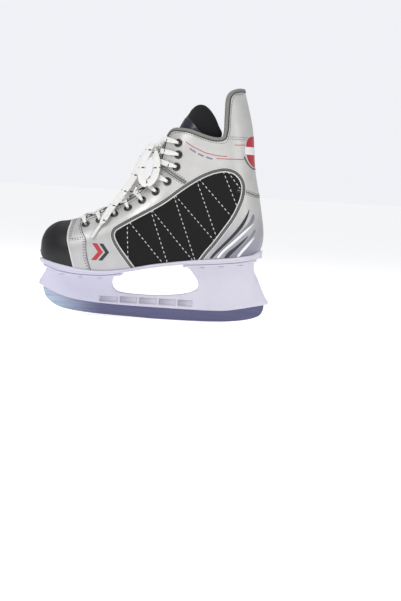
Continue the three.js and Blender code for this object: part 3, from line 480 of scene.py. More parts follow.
# ---- Seams and edges in side view --------------------------------------------------------
TOE_SEAM = spline([(-197, 60), (-199.5, 26), (-202, 14), (-202.2, 2), (-200, -6),
                   (-196.8, -17), (-190, -40)], 40)
VAMP_SEAM = spline([(-186, 60), (-188.5, 27), (-184, 12), (-179.5, 4), (-178.7, -7),
                    (-176, -20), (-169, -40)], 40)
THROAT_EDGE = spline([(-188.5, 27.2), (-176, 33), (-151, 43.6), (-125.5, 58.3), (-104.8, 79),
                      (-94.6, 101)], 60)
FRONT_EDGE = spline([(-94.6, 101), (-91, 117), (-88.8, 130), (-86, 140), (-82, 145.8)], 24)
COLLAR_EDGE = spline([(-82, 145.8), (-77.5, 147.5), (-71.6, 147.4), (-59, 146), (-46, 142),
                      (-34, 138.6), (-24, 137.4), (-17, 138.8)], 48)
QUARTER_SEAM = spline([(-94.4, 101.4), (-88.5, 98), (-74, 89), (-60, 81.2)], 20)
HEEL_SEAM = spline([(4, 76), (14, 75), (26, 71), (60, 64)], 16)
PANEL_EDGE = spline([
    (-117.3, -27.5), (-127, -15.6), (-136.5, -3.7), (-142, 4.7), (-144.4, 11), (-143.4, 16.3),
    (-139, 20), (-127, 27.8), (-101.6, 43.5), (-84.8, 54.6), (-60.9, 74), (-42.9, 86.5),
    (-30.7, 92.9), (-20.9, 96.4), (-11, 98), (-2.5, 96.3), (4.4, 91.3), (8.6, 84.1),
    (9.7, 76.6), (8.5, 66.5), (5.3, 56.3), (-0.2, 43.4), (-11.6, 25.2), (-23, 8.2),
    (-31.2, -2.3), (-38.7, -13.5)], 150)
PANEL = np.concatenate([PANEL_EDGE, [(-44, -60), (-112, -60)]])
GUARD_FRONT = spline([(-16.4, 137.6), (-14, 148), (-13.8, 165), (-13.6, 181), (-13, 190),
                      (-10.5, 195.3), (-4.7, 199.1), (1.5, 200.7)], 60)
JOINT_LEVEL = 139.4
THROAT_HALF_WIDTH = 14.5
EYELETS = np.array([
    (-181, 22.6), (-164, 28.8), (-146.5, 37.2), (-130, 46), (-113, 56.4),
    (-96.8, 68.2), (-83, 81.6), (-73, 100.4), (-71.4, 115.6), (-72.4, 130),
])
LINING_FRONT = spline([
    (-194, 6), (-181, 12), (-164, 18.8), (-146, 27), (-129, 36), (-111, 46), (-92, 58.5),
    (-75, 74), (-64.5, 96), (-62.4, 115), (-63.5, 131), (-66, 139), (-62, 144), (-46, 140.2),
    (-34, 136.8), (-24, 135.6), (-16, 136.8)], 90)
FORM = FormGrid(span=(0.2, 19.0))
LEFT = FORM.places[..., 1] < -0.02
LINE_PITCH, ROW_PITCH = 1.2, 1.5
BACK_TURN_STEPS = 21


def region(outline, grid=FORM):
    return signed_distance(grid.side_view, outline)


def skin(field, thickness=SHELL_THICKNESS, roll=0.45, out=0.0, grid=FORM, left_only=True):
    """A thick piece of the boot's surface where the field is positive: places and faces."""
    places = grid.places + grid.normals * out
    index_field = np.where(LEFT, field, -1.0) if left_only and grid is FORM else field
    p, n, faces = clipped(places, grid.normals, index_field - roll, grid.flipped)
    return thick_skin(p, n, faces, thickness, roll)


def over_ridge(field, out):
    """Where a field changes sign along each row: a line from the left sole over to the right."""
    places, normals = [], []
    for j in range(field.shape[1]):
        row = field[:, j]
        hits = np.nonzero((row[:-1] > 0) != (row[1:] > 0))[0]
        if len(hits) == 0:
            continue
        i = hits[0]
        t = row[i] / (row[i] - row[i + 1])
        places.append(FORM.places[i, j] * (1 - t) + FORM.places[i + 1, j] * t)
        normals.append(FORM.normals[i, j] * (1 - t) + FORM.normals[i + 1, j] * t)
    normals = unit(softened(normals, 4))
    return softened(places, 2) + normals * out, normals


def side_line(line, out, side):
    """A side-view line laid on the boot's side, with its normals."""
    return on_boot(side, resampled(line, LINE_PITCH), out)


def round_the_back(line, out):
    """A side-view line carried along the left, round the back and along the right."""
    line = np.asarray(line, float)
    height = line[-1][1]
    rear = float(back_edge(height))
    u = np.linspace(0, 1, BACK_TURN_STEPS + 1)[1:]
    tail = np.stack([rear - (rear - line[-1][0]) * (1 - u) ** 2,
                     np.full(BACK_TURN_STEPS, height)], -1)
    place, normal = on_boot(-1, np.concatenate([resampled(line, ROW_PITCH), tail[:-1]]), 0.0)
    place = np.concatenate([place, [[rear, 0, height]]])
    normal = softened(np.concatenate([normal, [[1, 0, 0.12]]]), 6)
    flip = np.array([1, -1, 1])
    place = np.concatenate([place, place[-2::-1] * flip])
    normal = unit(np.concatenate([normal, normal[-2::-1] * flip]))
    return place + normal * out, normal


# ---- Node helpers ------------------------------------------------------------------------
class Net:
    """Adds nodes to a tree: an input given as a socket is linked, anything else is its value."""

    def __init__(self, tree):
        self.tree = tree

    def add(self, kind, inputs=None, **settings):
        node = self.tree.nodes.new(kind)
        for key, value in settings.items():
            setattr(node, key, value)
        for key, value in (inputs or {}).items():
            self.feed(node.inputs[key], value)
        return node

    def feed(self, socket, value):
        if isinstance(value, bpy.types.NodeSocket):
            self.tree.links.new(value, socket)
        else:
            socket.default_value = value

    def maths(self, operation, *values):
        node = self.add("ShaderNodeMath", dict(enumerate(values)), operation=operation)
        return node.outputs[0]

    def mix(self, share, low, high):
        node = self.add("ShaderNodeMix", data_type="RGBA")
        self.feed(node.inputs["Factor"], share)
        self.feed(node.inputs[6], low)
        self.feed(node.inputs[7], high)
        return node.outputs[2]

    def ramp(self, value, low, high, to_low=0.0, to_high=1.0):
        inputs = {0: value, 1: low, 2: high, 3: to_low, 4: to_high}
        node = self.add("ShaderNodeMapRange", inputs, interpolation_type="SMOOTHSTEP")
        return node.outputs[0]


def ink(red, green, blue):
    """A screen colour as the linear colour that shaders take."""
    def linear(c):
        c /= 255
        return c / 12.92 if c <= 0.04045 else ((c + 0.055) / 1.055) ** 2.4
    return (linear(red), linear(green), linear(blue), 1.0)


def node_group(name, inputs, outputs, build):
    """A shader node group with named sockets, built once."""
    if name in bpy.data.node_groups:
        return bpy.data.node_groups[name]
    group = bpy.data.node_groups.new(name, "ShaderNodeTree")
    for label, (kind, value) in inputs.items():
        socket = group.interface.new_socket(label, in_out="INPUT", socket_type=kind)
        if value is not None:
            socket.default_value = value
    for label, kind in outputs.items():
        group.interface.new_socket(label, in_out="OUTPUT", socket_type=kind)
    net = Net(group)
    entry = net.add("NodeGroupInput")
    results = build(net, entry.outputs)
    exit_node = net.add("NodeGroupOutput")
    for label, socket in results.items():
        net.feed(exit_node.inputs[label], socket)
    return group


NUMBER, VECTOR = "NodeSocketFloat", "NodeSocketVector"


def pebble_grain():
    """Leather pebbles: cells with soft creases between them, over a finer crumple."""
    def build(net, given):
        place, size = given["Vector"], given["Size"]
        scaled = net.add("ShaderNodeVectorMath", {0: place}, operation="SCALE")
        net.feed(scaled.inputs["Scale"], net.maths("DIVIDE", 1.0, size))
        at = scaled.outputs[0]
        cells = net.add("ShaderNodeTexVoronoi", {"Vector": at, "Scale": 1.0, "Smoothness": 0.6},
                        feature="SMOOTH_F1")
        crumple = net.add("ShaderNodeTexNoise", {"Vector": at, "Scale": 2.4, "Detail": 3.0})
        broad = net.add("ShaderNodeTexNoise", {"Vector": at, "Scale": 0.05, "Detail": 2.0})
        pebble = net.maths("SUBTRACT", 1.0, cells.outputs["Distance"])
        fine = net.maths("MULTIPLY", crumple.outputs[0], 0.45)
        return {"Height": net.maths("ADD", pebble, fine), "Tone": broad.outputs[0]}
    return node_group("pebble_grain", {"Vector": (VECTOR, None), "Size": (NUMBER, 1.0)},
                      {"Height": NUMBER, "Tone": NUMBER}, build)


def woven_threads():
    """A plain weave: threads that pass over and under each other, with a slubby tone."""
    def build(net, given):
        split = net.add("ShaderNodeSeparateXYZ", {0: given["Vector"]})
        turn = net.maths("DIVIDE", math.pi, given["Thread"])
        across = net.maths("SINE", net.maths("MULTIPLY", split.outputs[0], turn))
        along = net.maths("SINE", net.maths("MULTIPLY", split.outputs[1], turn))
        over = net.maths("GREATER_THAN", net.maths("MULTIPLY", across, along), 0.0)
        warp, weft = net.maths("ABSOLUTE", across), net.maths("ABSOLUTE", along)
        first = net.maths("MULTIPLY", over, warp)
        second = net.maths("MULTIPLY", net.maths("SUBTRACT", 1.0, over), weft)
        height = net.maths("ADD", first, second)
        slub = net.add("ShaderNodeTexNoise", {"Vector": given["Vector"], "Scale": 1.1,
                                              "Detail": 2.0})
        return {"Height": height, "Over": over, "Tone": slub.outputs[0]}
    return node_group("woven_threads", {"Vector": (VECTOR, None), "Thread": (NUMBER, 0.6)},
                      {"Height": NUMBER, "Over": NUMBER, "Tone": NUMBER}, build)


def handling_marks():
    """Where hands and ice have dulled a surface: soft patches broken up by scuffs."""
    def build(net, given):
        patches = net.add("ShaderNodeTexNoise", {"Vector": given["Vector"], "Scale": 0.03,
                                                 "Detail": 4.0})
        scuffs = net.add("ShaderNodeTexNoise", {"Vector": given["Vector"], "Scale": 0.5,
                                                "Detail": 5.0, "Roughness": 0.7})
        mask = net.maths("MULTIPLY", patches.outputs[0], scuffs.outputs[0])
        return {"Mask": net.ramp(mask, 0.16, 0.42)}
    return node_group("handling_marks", {"Vector": (VECTOR, None)}, {"Mask": NUMBER}, build)


def millimetres(net, stretch=(1, 1, 1)):
    """Object coordinates in millimetres, stretched along an axis where asked."""
    place = net.add("ShaderNodeTexCoord").outputs["Object"]
    scale = tuple(1000.0 * s for s in stretch)
    return net.add("ShaderNodeMapping", {"Vector": place, "Scale": scale}).outputs[0]


def group_node(net, group, **inputs):
    node = net.add("ShaderNodeGroup", node_tree=group)
    for key, value in inputs.items():
        net.feed(node.inputs[key], value)
    return node.outputs


def bump(net, height, strength, distance):
    inputs = {"Height": height, "Strength": strength, "Distance": distance}
    return net.add("ShaderNodeBump", inputs).outputs[0]


def new_material(name, dress):
    """A material whose Principled shader gets what dress(net) returns for its sockets."""
    finish = f"{name}_finish"
    if finish in bpy.data.materials:
        return bpy.data.materials[finish]
    material = bpy.data.materials.new(finish)
    material.use_nodes = True
    material.node_tree.nodes.clear()
    net = Net(material.node_tree)
    shader = net.add("ShaderNodeBsdfPrincipled")
    for key, value in dress(net).items():
        net.feed(shader.inputs[key], value)
    net.add("ShaderNodeOutputMaterial", {"Surface": shader.outputs[0]})
    return material


def darker(colour, share):
    return (colour[0] * share, colour[1] * share, colour[2] * share, 1.0)


# ---- Materials -----------------------------------------------------------------------------
def silver_leather():
    """Pearly coated leather with a painted bluish shade that darkens it towards the sole, most at
    the heel.
    """
    base = tuple(bpy.context.scene.skate_boot.leather_colour)

    def dress(net):
        place = millimetres(net)
        grain = group_node(net, pebble_grain(), Vector=place, Size=0.8)
        marks = group_node(net, handling_marks(), Vector=place)
        height = net.add("ShaderNodeSeparateXYZ", {0: place})
        # painted shade: a bluish darkening towards the sole, strongest at the heel
        low = net.ramp(height.outputs[2], 62.0, -20.0, 0.0, 1.0)
        heel = net.ramp(height.outputs[0], -50.0, 20.0, 0.22, 1.0)
        shade = net.maths("MULTIPLY", low, heel)
        toned = net.mix(net.ramp(grain["Tone"], 0.3, 0.7), darker(base, 0.93), base)
        painted_low_shade = net.mix(shade, toned, ink(104, 106, 130))
        colour = net.mix(net.maths("MULTIPLY", marks["Mask"], 0.18), painted_low_shade, darker(base, 0.72))
        return {"Base Color": colour, "Metallic": 0.28, "Specular IOR Level": 0.5,
                "Roughness": net.ramp(marks["Mask"], 0.0, 1.0, 0.33, 0.5),
                "Coat Weight": 0.12, "Coat Roughness": 0.3,
                "Normal": bump(net, grain["Height"], 0.22, 0.00018)}
    return new_material("silver_leather", dress)


def cloth(name, colour, thread, strength, plane="XZ", sheen=0.03, light=2.0):
    """A woven cloth whose threads run along two of the object's axes, their crowns given a painted
    highlight.
    """
    def dress(net):
        place = millimetres(net)
        split = net.add("ShaderNodeSeparateXYZ", {0: place})
        axes = {"X": split.outputs[0], "Y": split.outputs[1], "Z": split.outputs[2]}
        laid = net.add("ShaderNodeCombineXYZ", {0: axes[plane[0]], 1: axes[plane[1]]})
        weave = group_node(net, woven_threads(), Vector=laid.outputs[0], Thread=thread)
        # painted highlight on the thread crowns, so the gaps between threads read as painted
        # shade; light sets how much lighter, the slub tone varies it
        crown_highlight = tuple(min(1.0, c * light + 0.006) for c in colour[:3]) + (1.0,)
        raised = net.maths("MULTIPLY", net.ramp(weave["Height"], 0.35, 1.0), weave["Tone"])
        return {"Base Color": net.mix(raised, colour, crown_highlight), "Roughness": 0.86,
                "Specular IOR Level": 0.2, "Sheen Weight": sheen, "Sheen Roughness": 0.5,
                "Normal": bump(net, weave["Height"], strength, 0.0003)}
    return new_material(name, dress)


def black_weave():
    return cloth("black_weave", tuple(bpy.context.scene.skate_boot.panel_colour), 0.9, 0.7)


def tongue_felt():
    return cloth("tongue_felt", ink(24, 23, 25), 0.7, 0.5, sheen=0.06)


def lining_cloth():
    return cloth("lining_cloth", ink(38, 38, 42), 0.8, 0.5, "YZ", 0.06)


def footbed_cloth():
    return cloth("footbed_cloth", ink(44, 44, 48), 0.9, 0.5, "XY", 0.06)


RECESS_EDGE, RECESS_FADE, RECESS_SHADE = 0.5, 4.0, 0.75


def recess_shade(net, place):
    """Where the floors of the rail's recesses lie in shade, most at their front ends."""
    split = net.add("ShaderNodeSeparateXYZ", {0: place})
    x, z = split.outputs[0], split.outputs[2]
    shade = 0.0
    for a, b, top in RAIL_RECESSES:
        inside = net.maths("MULTIPLY", net.maths("GREATER_THAN", x, a + RECESS_EDGE),
                           net.ramp(x, b + RECESS_FADE, a, 0.0, 1.0))
        level = net.maths("MULTIPLY", net.maths("LESS_THAN", z, top - RECESS_EDGE),
                          net.maths("GREATER_THAN", z, RECESS_BOTTOM + RECESS_EDGE))
        shade = net.maths("ADD", shade, net.maths("MULTIPLY", inside, level))
    return net.maths("MULTIPLY", shade, RECESS_SHADE)


def moulded_plastic(name, colour, rough, coat, texture, toe_shade_tint=None):
    """Moulded plastic with an eggshell face, dulled where it is handled.

    The sole's plastic also gets a painted bluish shade towards the toe and painted shade in the
    rail's recesses.
    """
    def dress(net):
        place = millimetres(net)
        marks = group_node(net, handling_marks(), Vector=place)
        face = net.add("ShaderNodeTexNoise", {"Vector": place, "Scale": 1.6, "Detail": 3.0})
        toned = net.mix(net.maths("MULTIPLY", marks["Mask"], 0.25), colour, darker(colour, 0.8))
        if toe_shade_tint:
            axis = net.add("ShaderNodeSeparateXYZ", {0: place}).outputs[0]
            # painted shade: bluish, deepening towards the toe
            toned = net.mix(net.ramp(axis, -60.0, -190.0, 0.0, 0.55), toned, toe_shade_tint)
            toned = net.mix(recess_shade(net, place), toned, darker(colour, 0.5))
        return {"Base Color": toned, "Specular IOR Level": 0.5,
                "Roughness": net.ramp(marks["Mask"], 0.0, 1.0, rough, rough + 0.16),
                "Coat Weight": coat, "Coat Roughness": 0.15,
                "Normal": bump(net, face.outputs[0], texture, 0.00012)}
    return new_material(name, dress)


def toe_plastic():
    return moulded_plastic("toe_plastic", ink(14, 12, 15), 0.42, 0.0, 0.35)


def patch_vinyl():
    return moulded_plastic("tongue_patch_vinyl", ink(30, 33, 50), 0.25, 0.3, 0.5)


def sole_plastic():
    colour = tuple(bpy.context.scene.skate_runner.plastic_colour)
    # ink(196, 195, 216) is the painted bluish shade towards the toe
    return moulded_plastic("sole_plastic", colour, 0.3, 0.25, 0.08, ink(196, 195, 216))


def runner_steel():
    """Ground steel: long streaks along the runner, with a painted reflection that brightens it
    towards the toe.
    """
    base = tuple(bpy.context.scene.skate_runner.steel_colour)

    def dress(net):
        streaks = net.add("ShaderNodeTexNoise", {"Vector": millimetres(net, (0.02, 1, 3.5)),
                                                 "Scale": 1.0, "Detail": 5.0})
        along = net.add("ShaderNodeSeparateXYZ", {0: millimetres(net)}).outputs[0]
        # painted reflection: paler and bluer towards the toe
        toned = net.mix(net.ramp(along, -150.0, -232.0), base, ink(176, 190, 208))
        colour = net.mix(net.ramp(streaks.outputs[0], 0.35, 0.7, 0.0, 0.35), toned,
                         darker(base, 0.55))
        return {"Base Color": colour, "Metallic": 0.9,
                "Roughness": net.ramp(streaks.outputs[0], 0.3, 0.7, 0.24, 0.4),
                "Normal": bump(net, streaks.outputs[0], 0.1, 0.0001)}
    return new_material("runner_steel", dress)


def enamel(name="eyelet_enamel", colour=None, rough=0.25, metal=0.0):
    """Stoved enamel or plain metal on small pressed pieces, worn a little."""
    colour = colour or ink(14, 14, 16)

    def dress(net):
        marks = group_node(net, handling_marks(), Vector=millimetres(net))
        worn = tuple(min(1.0, c + 0.12) for c in colour[:3]) + (1.0,)
        shade = net.mix(net.maths("MULTIPLY", marks["Mask"], 0.35), colour, worn)
        return {"Base Color": shade, "Metallic": metal, "Coat Weight": 0.3,
                "Roughness": net.ramp(marks["Mask"], 0.0, 1.0, rough, rough + 0.25)}
    return new_material(name, dress)


def thread(name, colour):
    """Twisted sewing thread, with painted shade in the grooves of its twist."""
    def dress(net):
        twist = net.add("ShaderNodeTexWave", {"Vector": millimetres(net), "Scale": 1.4,
                                              "Distortion": 1.0}, bands_direction="DIAGONAL")
        # painted shade: the twist's grooves darker, its crowns lighter
        toned = net.mix(twist.outputs[1], darker(colour, 0.7), colour)
        return {"Base Color": toned, "Roughness": 0.62,
                "Normal": bump(net, twist.outputs[1], 0.3, 0.0001)}
    return new_material(name, dress)


RIB_PITCH = 1.1


def ribbed_vinyl(name, colour, rough, rib=0.0):
    """Coated tape for pipings and bindings; its ribs follow its own length."""
    def dress(net):
        run = net.add("ShaderNodeUVMap", uv_map="UVMap").outputs[0]
        split = net.add("ShaderNodeSeparateXYZ", {0: run})
        ribs = net.maths("SINE", net.maths("MULTIPLY", split.outputs[0],
                                          2 * math.pi / RIB_PITCH))
        marks = group_node(net, handling_marks(), Vector=millimetres(net))
        height = net.ramp(ribs, -1.0, 1.0)
        toned = net.mix(net.maths("MULTIPLY", height, rib), colour, darker(colour, 0.45))
        worn = net.mix(net.maths("MULTIPLY", marks["Mask"], 0.2), toned, darker(colour, 0.6))
        return {"Base Color": worn, "Roughness": rough,
                "Normal": bump(net, height, 0.1 + 0.6 * rib, 0.0002)}
    return new_material(name, dress)


def lace_cotton():
    """Flat woven lace: a herringbone of fine threads with dark tracer ticks across it."""
    settings = bpy.context.scene.skate_lace
    base, pitch = tuple(settings.lace_colour), settings.tracer_pitch / MM

    def dress(net):
        run = net.add("ShaderNodeUVMap", uv_map="UVMap").outputs[0]
        split = net.add("ShaderNodeSeparateXYZ", {0: run})
        along, across = split.outputs[0], split.outputs[1]
        fold = net.maths("ABSOLUTE", net.maths("SUBTRACT", net.maths("FRACT", net.maths(
            "MULTIPLY", across, 3.0)), 0.5))
        slant = net.maths("ADD", net.maths("MULTIPLY", along, 1.15), net.maths(
            "MULTIPLY", fold, 3.2))
        rows = net.maths("FRACT", slant)
        ridge = net.ramp(net.maths("ABSOLUTE", net.maths("SUBTRACT", rows, 0.5)), 0.5, 0.1)
        turn = net.maths("FRACT", net.maths("DIVIDE", along, pitch))
        band = net.maths("LESS_THAN", net.maths("ABSOLUTE", net.maths(
            "SUBTRACT", turn, 0.5)), 0.9 / pitch)
        tick = net.maths("GREATER_THAN", net.maths("FRACT", net.maths(
            "MULTIPLY", across, 6.0)), 0.45)
        tracer = net.maths("MULTIPLY", band, tick)
        fuzz = net.add("ShaderNodeTexNoise", {"Vector": millimetres(net), "Scale": 0.4,
                                              "Detail": 3.0})
        # painted shade: darker between the herringbone ridges, lighter on them
        toned = net.mix(net.ramp(ridge, 0.0, 1.0, 0.25, 1.0), darker(base, 0.7), base)
        soiled = net.mix(net.ramp(fuzz.outputs[0], 0.5, 0.85, 0.0, 0.2), toned,
                         darker(base, 0.72))
        return {"Base Color": net.mix(tracer, soiled, ink(22, 22, 30)), "Roughness": 0.85,
                "Sheen Weight": 0.3, "Normal": bump(net, ridge, 0.55, 0.0003)}
    return new_material("lace_cotton", dress)


def printed(name, colour):
    """Screen-printed ink, slightly raised and broken by the grain under it."""
    def dress(net):
        place = millimetres(net)
        grain = group_node(net, pebble_grain(), Vector=place, Size=0.8)
        speckle = net.ramp(grain["Height"], 0.1, 0.45, 0.35, 0.0)
        worn = tuple(0.5 * c + 0.12 for c in colour[:3]) + (1.0,)
        return {"Base Color": net.mix(speckle, colour, worn), "Roughness": 0.35,
                "Coat Weight": 0.2, "Normal": bump(net, grain["Height"], 0.15, 0.00015)}
    return new_material(name, dress)


def board_fibre():
    """Pressed fibre board with long flecks."""
    base = ink(150, 132, 104)

    def dress(net):
        flecks = net.add("ShaderNodeTexNoise", {"Vector": millimetres(net, (0.3, 1.4, 1)),
                                                "Scale": 1.2, "Detail": 6.0})
        colour = net.mix(net.ramp(flecks.outputs[0], 0.35, 0.7), darker(base, 0.6), base)
        return {"Base Color": colour, "Roughness": 0.8,
                "Normal": bump(net, flecks.outputs[0], 0.4, 0.0002)}
    return new_material("board_fibre", dress)


# ---- Geometry node trees --------------------------------------------------------------------
def geometry_tree(name, inputs, build):
    """A geometry node tree with named inputs that ends in Realize Instances and Set Material."""
    tree = bpy.data.node_groups.new(name, "GeometryNodeTree")
    kinds = {"Geometry": "NodeSocketGeometry", "Material": "NodeSocketMaterial"}
    for label, kind in {"Geometry": None, **inputs, "Material": None}.items():
        tree.interface.new_socket(label, in_out="INPUT", socket_type=kind or kinds[label])
    tree.interface.new_socket("Geometry", in_out="OUTPUT", socket_type="NodeSocketGeometry")
    net = Net(tree)
    given = net.add("NodeGroupInput").outputs
    made = build(net, given)
    real = net.add("GeometryNodeRealizeInstances", {0: made})
    shade = net.add("GeometryNodeSetShadeSmooth", {0: real.outputs[0]})
    dressed = net.add("GeometryNodeSetMaterial", {0: shade.outputs[0]})
    net.feed(dressed.inputs["Material"], given["Material"])
    net.add("NodeGroupOutput", {0: dressed.outputs[0]})
    return tree


def facing_rotation(net, primary, secondary):
    normal = net.add("GeometryNodeInputNamedAttribute", {"Name": "facing"},
                     data_type="FLOAT_VECTOR").outputs["Attribute"]
    tangent = net.add("GeometryNodeInputTangent").outputs[0]
    pair = {"Primary Axis": tangent if primary == "X" else normal,
            "Secondary Axis": normal if primary == "X" else (1.0, 0.0, 0.0)}
    return net.add("FunctionNodeAxesToRotation", pair, primary_axis=primary,
                   secondary_axis=secondary).outputs[0]


def stitch_tree():
    """Short rounded stitches at an even pitch along lines that carry a facing direction."""
    def build(net, given):
        curve = net.add("GeometryNodeMeshToCurve", {"Mesh": given["Geometry"]})
        spaced = net.add("GeometryNodeResampleCurve", {"Curve": curve.outputs[0]},
                         mode="LENGTH")
        net.feed(spaced.inputs["Length"], given["Pitch"])
        bead = net.add("GeometryNodeMeshUVSphere", {"Segments": 8, "Rings": 5, "Radius": 0.5})
        size = net.add("ShaderNodeCombineXYZ", {0: given["Length"], 1: given["Width"],
                                                2: given["Height"]})
        placed = net.add("GeometryNodeInstanceOnPoints", {
            "Points": spaced.outputs[0], "Instance": bead.outputs[0],
            "Rotation": facing_rotation(net, "X", "Z"), "Scale": size.outputs[0]})
        return placed.outputs[0]
    number = "NodeSocketFloat"
    return geometry_tree("stitch_rows", {"Pitch": number, "Length": number, "Width": number,
                                         "Height": number}, build)


def fixing_tree():
    """A small pressed fixing stood on each point, along its facing direction."""
    def build(net, given):
        shape = net.add("GeometryNodeObjectInfo", {"Object": given["Fixing"]})
        placed = net.add("GeometryNodeInstanceOnPoints", {
            "Points": given["Geometry"], "Instance": shape.outputs["Geometry"],
            "Rotation": facing_rotation(net, "Z", "X")})
        return placed.outputs[0]
    return geometry_tree("placed_fixings", {"Fixing": "NodeSocketObject"}, build)


def grown_by_nodes(name, tree, places, edges, facing, **values):
    """A plain mesh made by a geometry node tree from points with facing directions."""
    mesh = bpy.data.meshes.new(name)
    mesh.from_pydata((np.asarray(places) * MM).tolist(), edges, [])
    layer = mesh.attributes.new("facing", "FLOAT_VECTOR", "POINT")
    layer.data.foreach_set("vector", np.asarray(facing, np.float32).ravel())
    seed = bpy.data.objects.new(name, mesh)
    bpy.context.scene.collection.objects.link(seed)
    modifier = seed.modifiers.new("nodes", "NODES")
    modifier.node_group = tree
    for item in tree.interface.items_tree:
        if item.in_out == "INPUT" and item.name in values:
            modifier[item.identifier] = values[item.name]
    graph = bpy.context.evaluated_depsgraph_get()
    result = bpy.data.meshes.new_from_object(seed.evaluated_get(graph))
    seed.modifiers.remove(modifier)
    seed.data = result
    bpy.data.meshes.remove(mesh)
    result.name = name
    return seed


def stitched(name, rows, material, scale):
    """Stitches along rows of (places, facing)."""
    settings = bpy.context.scene.skate_boot
    places, facing, edges = [], [], []
    for line, normals in rows:
        start = sum(len(p) for p in places)
        places.append(line)
        facing.append(normals)
        edges += [(start + i, start + i + 1) for i in range(len(line) - 1)]
    pitch, width = settings.stitch_pitch * scale, settings.stitch_width * scale**0.6
    return grown_by_nodes(
        name, bpy.data.node_groups.get("stitch_rows") or stitch_tree(),
        np.concatenate(places), edges, np.concatenate(facing), Pitch=pitch,
        Length=pitch * 0.68, Width=width, Height=width * 0.8, Material=material)


def placed_fixings(name, profile, places, facing, material, segments):
    """A turned fixing at each place, as one mesh."""
    shape_places, shape_faces = lathe(profile, segments)
    model = mesh_object(f"{name}_model", shape_places, shape_faces, material)
    tree = bpy.data.node_groups.get("placed_fixings") or fixing_tree()
    made = grown_by_nodes(name, tree, places, [], facing, Fixing=model, Material=material)
    bpy.data.objects.remove(model)
    made.data.set_sharp_from_angle(angle=math.radians(50))
    return made


def lathe(profile, segments):
    """A closed (radius, height) profile turned about Z: points, faces."""
    profile = np.asarray(profile, float)
    turn = np.linspace(0, 2 * math.pi, segments, endpoint=False)
    radius, height = profile[:, 0], profile[:, 1]
    places = np.stack([radius[None] * np.cos(turn)[:, None], radius[None] * np.sin(turn)[:, None],
                       np.repeat(height[None], segments, 0)], -1)
    count = len(profile)
    faces = []
    for i in range(segments):
        for j in range(count):
            k, ahead = (j + 1) % count, (i + 1) % segments
            faces.append([i * count + j, ahead * count + j, ahead * count + k, i * count + k])
    return places.reshape(-1, 3), faces


def dress_node(node, material):
    """Gives a carried-over CAD node a finished material."""
    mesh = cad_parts[node].data
    mesh.materials.clear()
    mesh.materials.append(material)


def with_collar(piece):
    """Bakes the piece's placement into its mesh."""
    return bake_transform(piece)


def with_tongue(piece):
    """Bakes the piece's placement into its mesh."""
    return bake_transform(piece)


def with_boot(piece):
    """The piece moves with the boot."""
    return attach(piece, BOOT)


def settled(piece, slot, follow, *nodes):
    """The piece with its body and the CAD nodes that it replaces; its slot is not used."""
    follow(piece)
    if nodes:
        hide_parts(*nodes)
    return piece


def sides(node):
    return [f"right_{node}", f"left_{node}"]


# ---- Stage ---------------------------------------------------------------------------------
VIEW_TARGET = (-0.033, -0.015, -0.0644)
CAMERA_PLACE = (-0.033, -3.0, 0.08)
CAMERA_LENS = 143.0
CAMERA_ROLL = math.radians(3.5)
FLOOR_Z = CAD_BOX[0][2] - 0.0002
FLOOR_HALF, FLOOR_GLOW = 40000.0, 0.58
WORLD_LIGHT, WORLD_SEEN = 0.42, 0.5
LIGHTS = {
    "key": ((-1.1, -1.7, 1.6), 20, 1.0),
    "fill": ((1.5, -1.6, 0.7), 6, 1.2),
    "front": ((-0.2, -2.4, 0.25), 2, 0.8),
    "top": ((0.1, 0.5, 1.9), 15, 1.3),
}


def studio_floor():
    """A wide pale floor."""
    corners = [(-1, -1), (1, -1), (1, 1), (-1, 1)]
    places = [(x * FLOOR_HALF, y * FLOOR_HALF, FLOOR_Z / MM) for x, y in corners]

    def dress(net):
        mottle = net.add("ShaderNodeTexNoise", {"Vector": millimetres(net), "Scale": 0.004})
        colour = net.mix(mottle.outputs[0], ink(228, 228, 230), ink(236, 236, 238))
        return {"Base Color": colour, "Roughness": 0.85, "Emission Color": ink(255, 255, 255),
                "Emission Strength": FLOOR_GLOW}
    return mesh_object("studio_floor", places, [[0, 1, 2, 3]], new_material("studio_paper", dress))


def studio_world():
    """A soft pale surround, brighter where it is looked at than where it lights."""
    world = bpy.data.worlds.new("studio")
    world.use_nodes = True
    world.node_tree.nodes.clear()
    net = Net(world.node_tree)
    seen = net.add("ShaderNodeLightPath").outputs["Is Camera Ray"]
    strength = net.maths("ADD", net.maths("MULTIPLY", seen, WORLD_SEEN), WORLD_LIGHT)
    surround = net.add("ShaderNodeBackground", {"Color": (0.95, 0.96, 1, 1),
                                                "Strength": strength})
    net.add("ShaderNodeOutputWorld", {"Surface": surround.outputs[0]})
    return world


class SKATE_OT_stage(bpy.types.Operator):
    """Lays the pale floor and sets the lights and the camera"""
    bl_idname = "skate.stage"
    bl_label = "Stage"

    def execute(self, context):
        scene = context.scene
        scene.view_settings.view_transform = "Standard"
        studio_floor()
        for name, (place, power, size) in LIGHTS.items():
            lamp = bpy.data.lights.new(f"{name}_light", "AREA")
            lamp.energy, lamp.size = power, size
            lit = bpy.data.objects.new(f"{name}_light", lamp)
            lit.location = place
            lit.rotation_euler = (Vector(VIEW_TARGET) - lit.location).to_track_quat(
                "-Z", "Y").to_euler()
            scene.collection.objects.link(lit)
        scene.world = studio_world()
        lens = bpy.data.cameras.new("camera")
        lens.lens = CAMERA_LENS
        camera = bpy.data.objects.new("camera", lens)
        camera.location = CAMERA_PLACE
        aim = (Vector(VIEW_TARGET) - camera.location).to_track_quat("-Z", "Y")
        camera.rotation_euler = (aim @ Quaternion((0, 0, 1), CAMERA_ROLL)).to_euler()
        scene.collection.objects.link(camera)
        scene.camera = camera
        return {"FINISHED"}


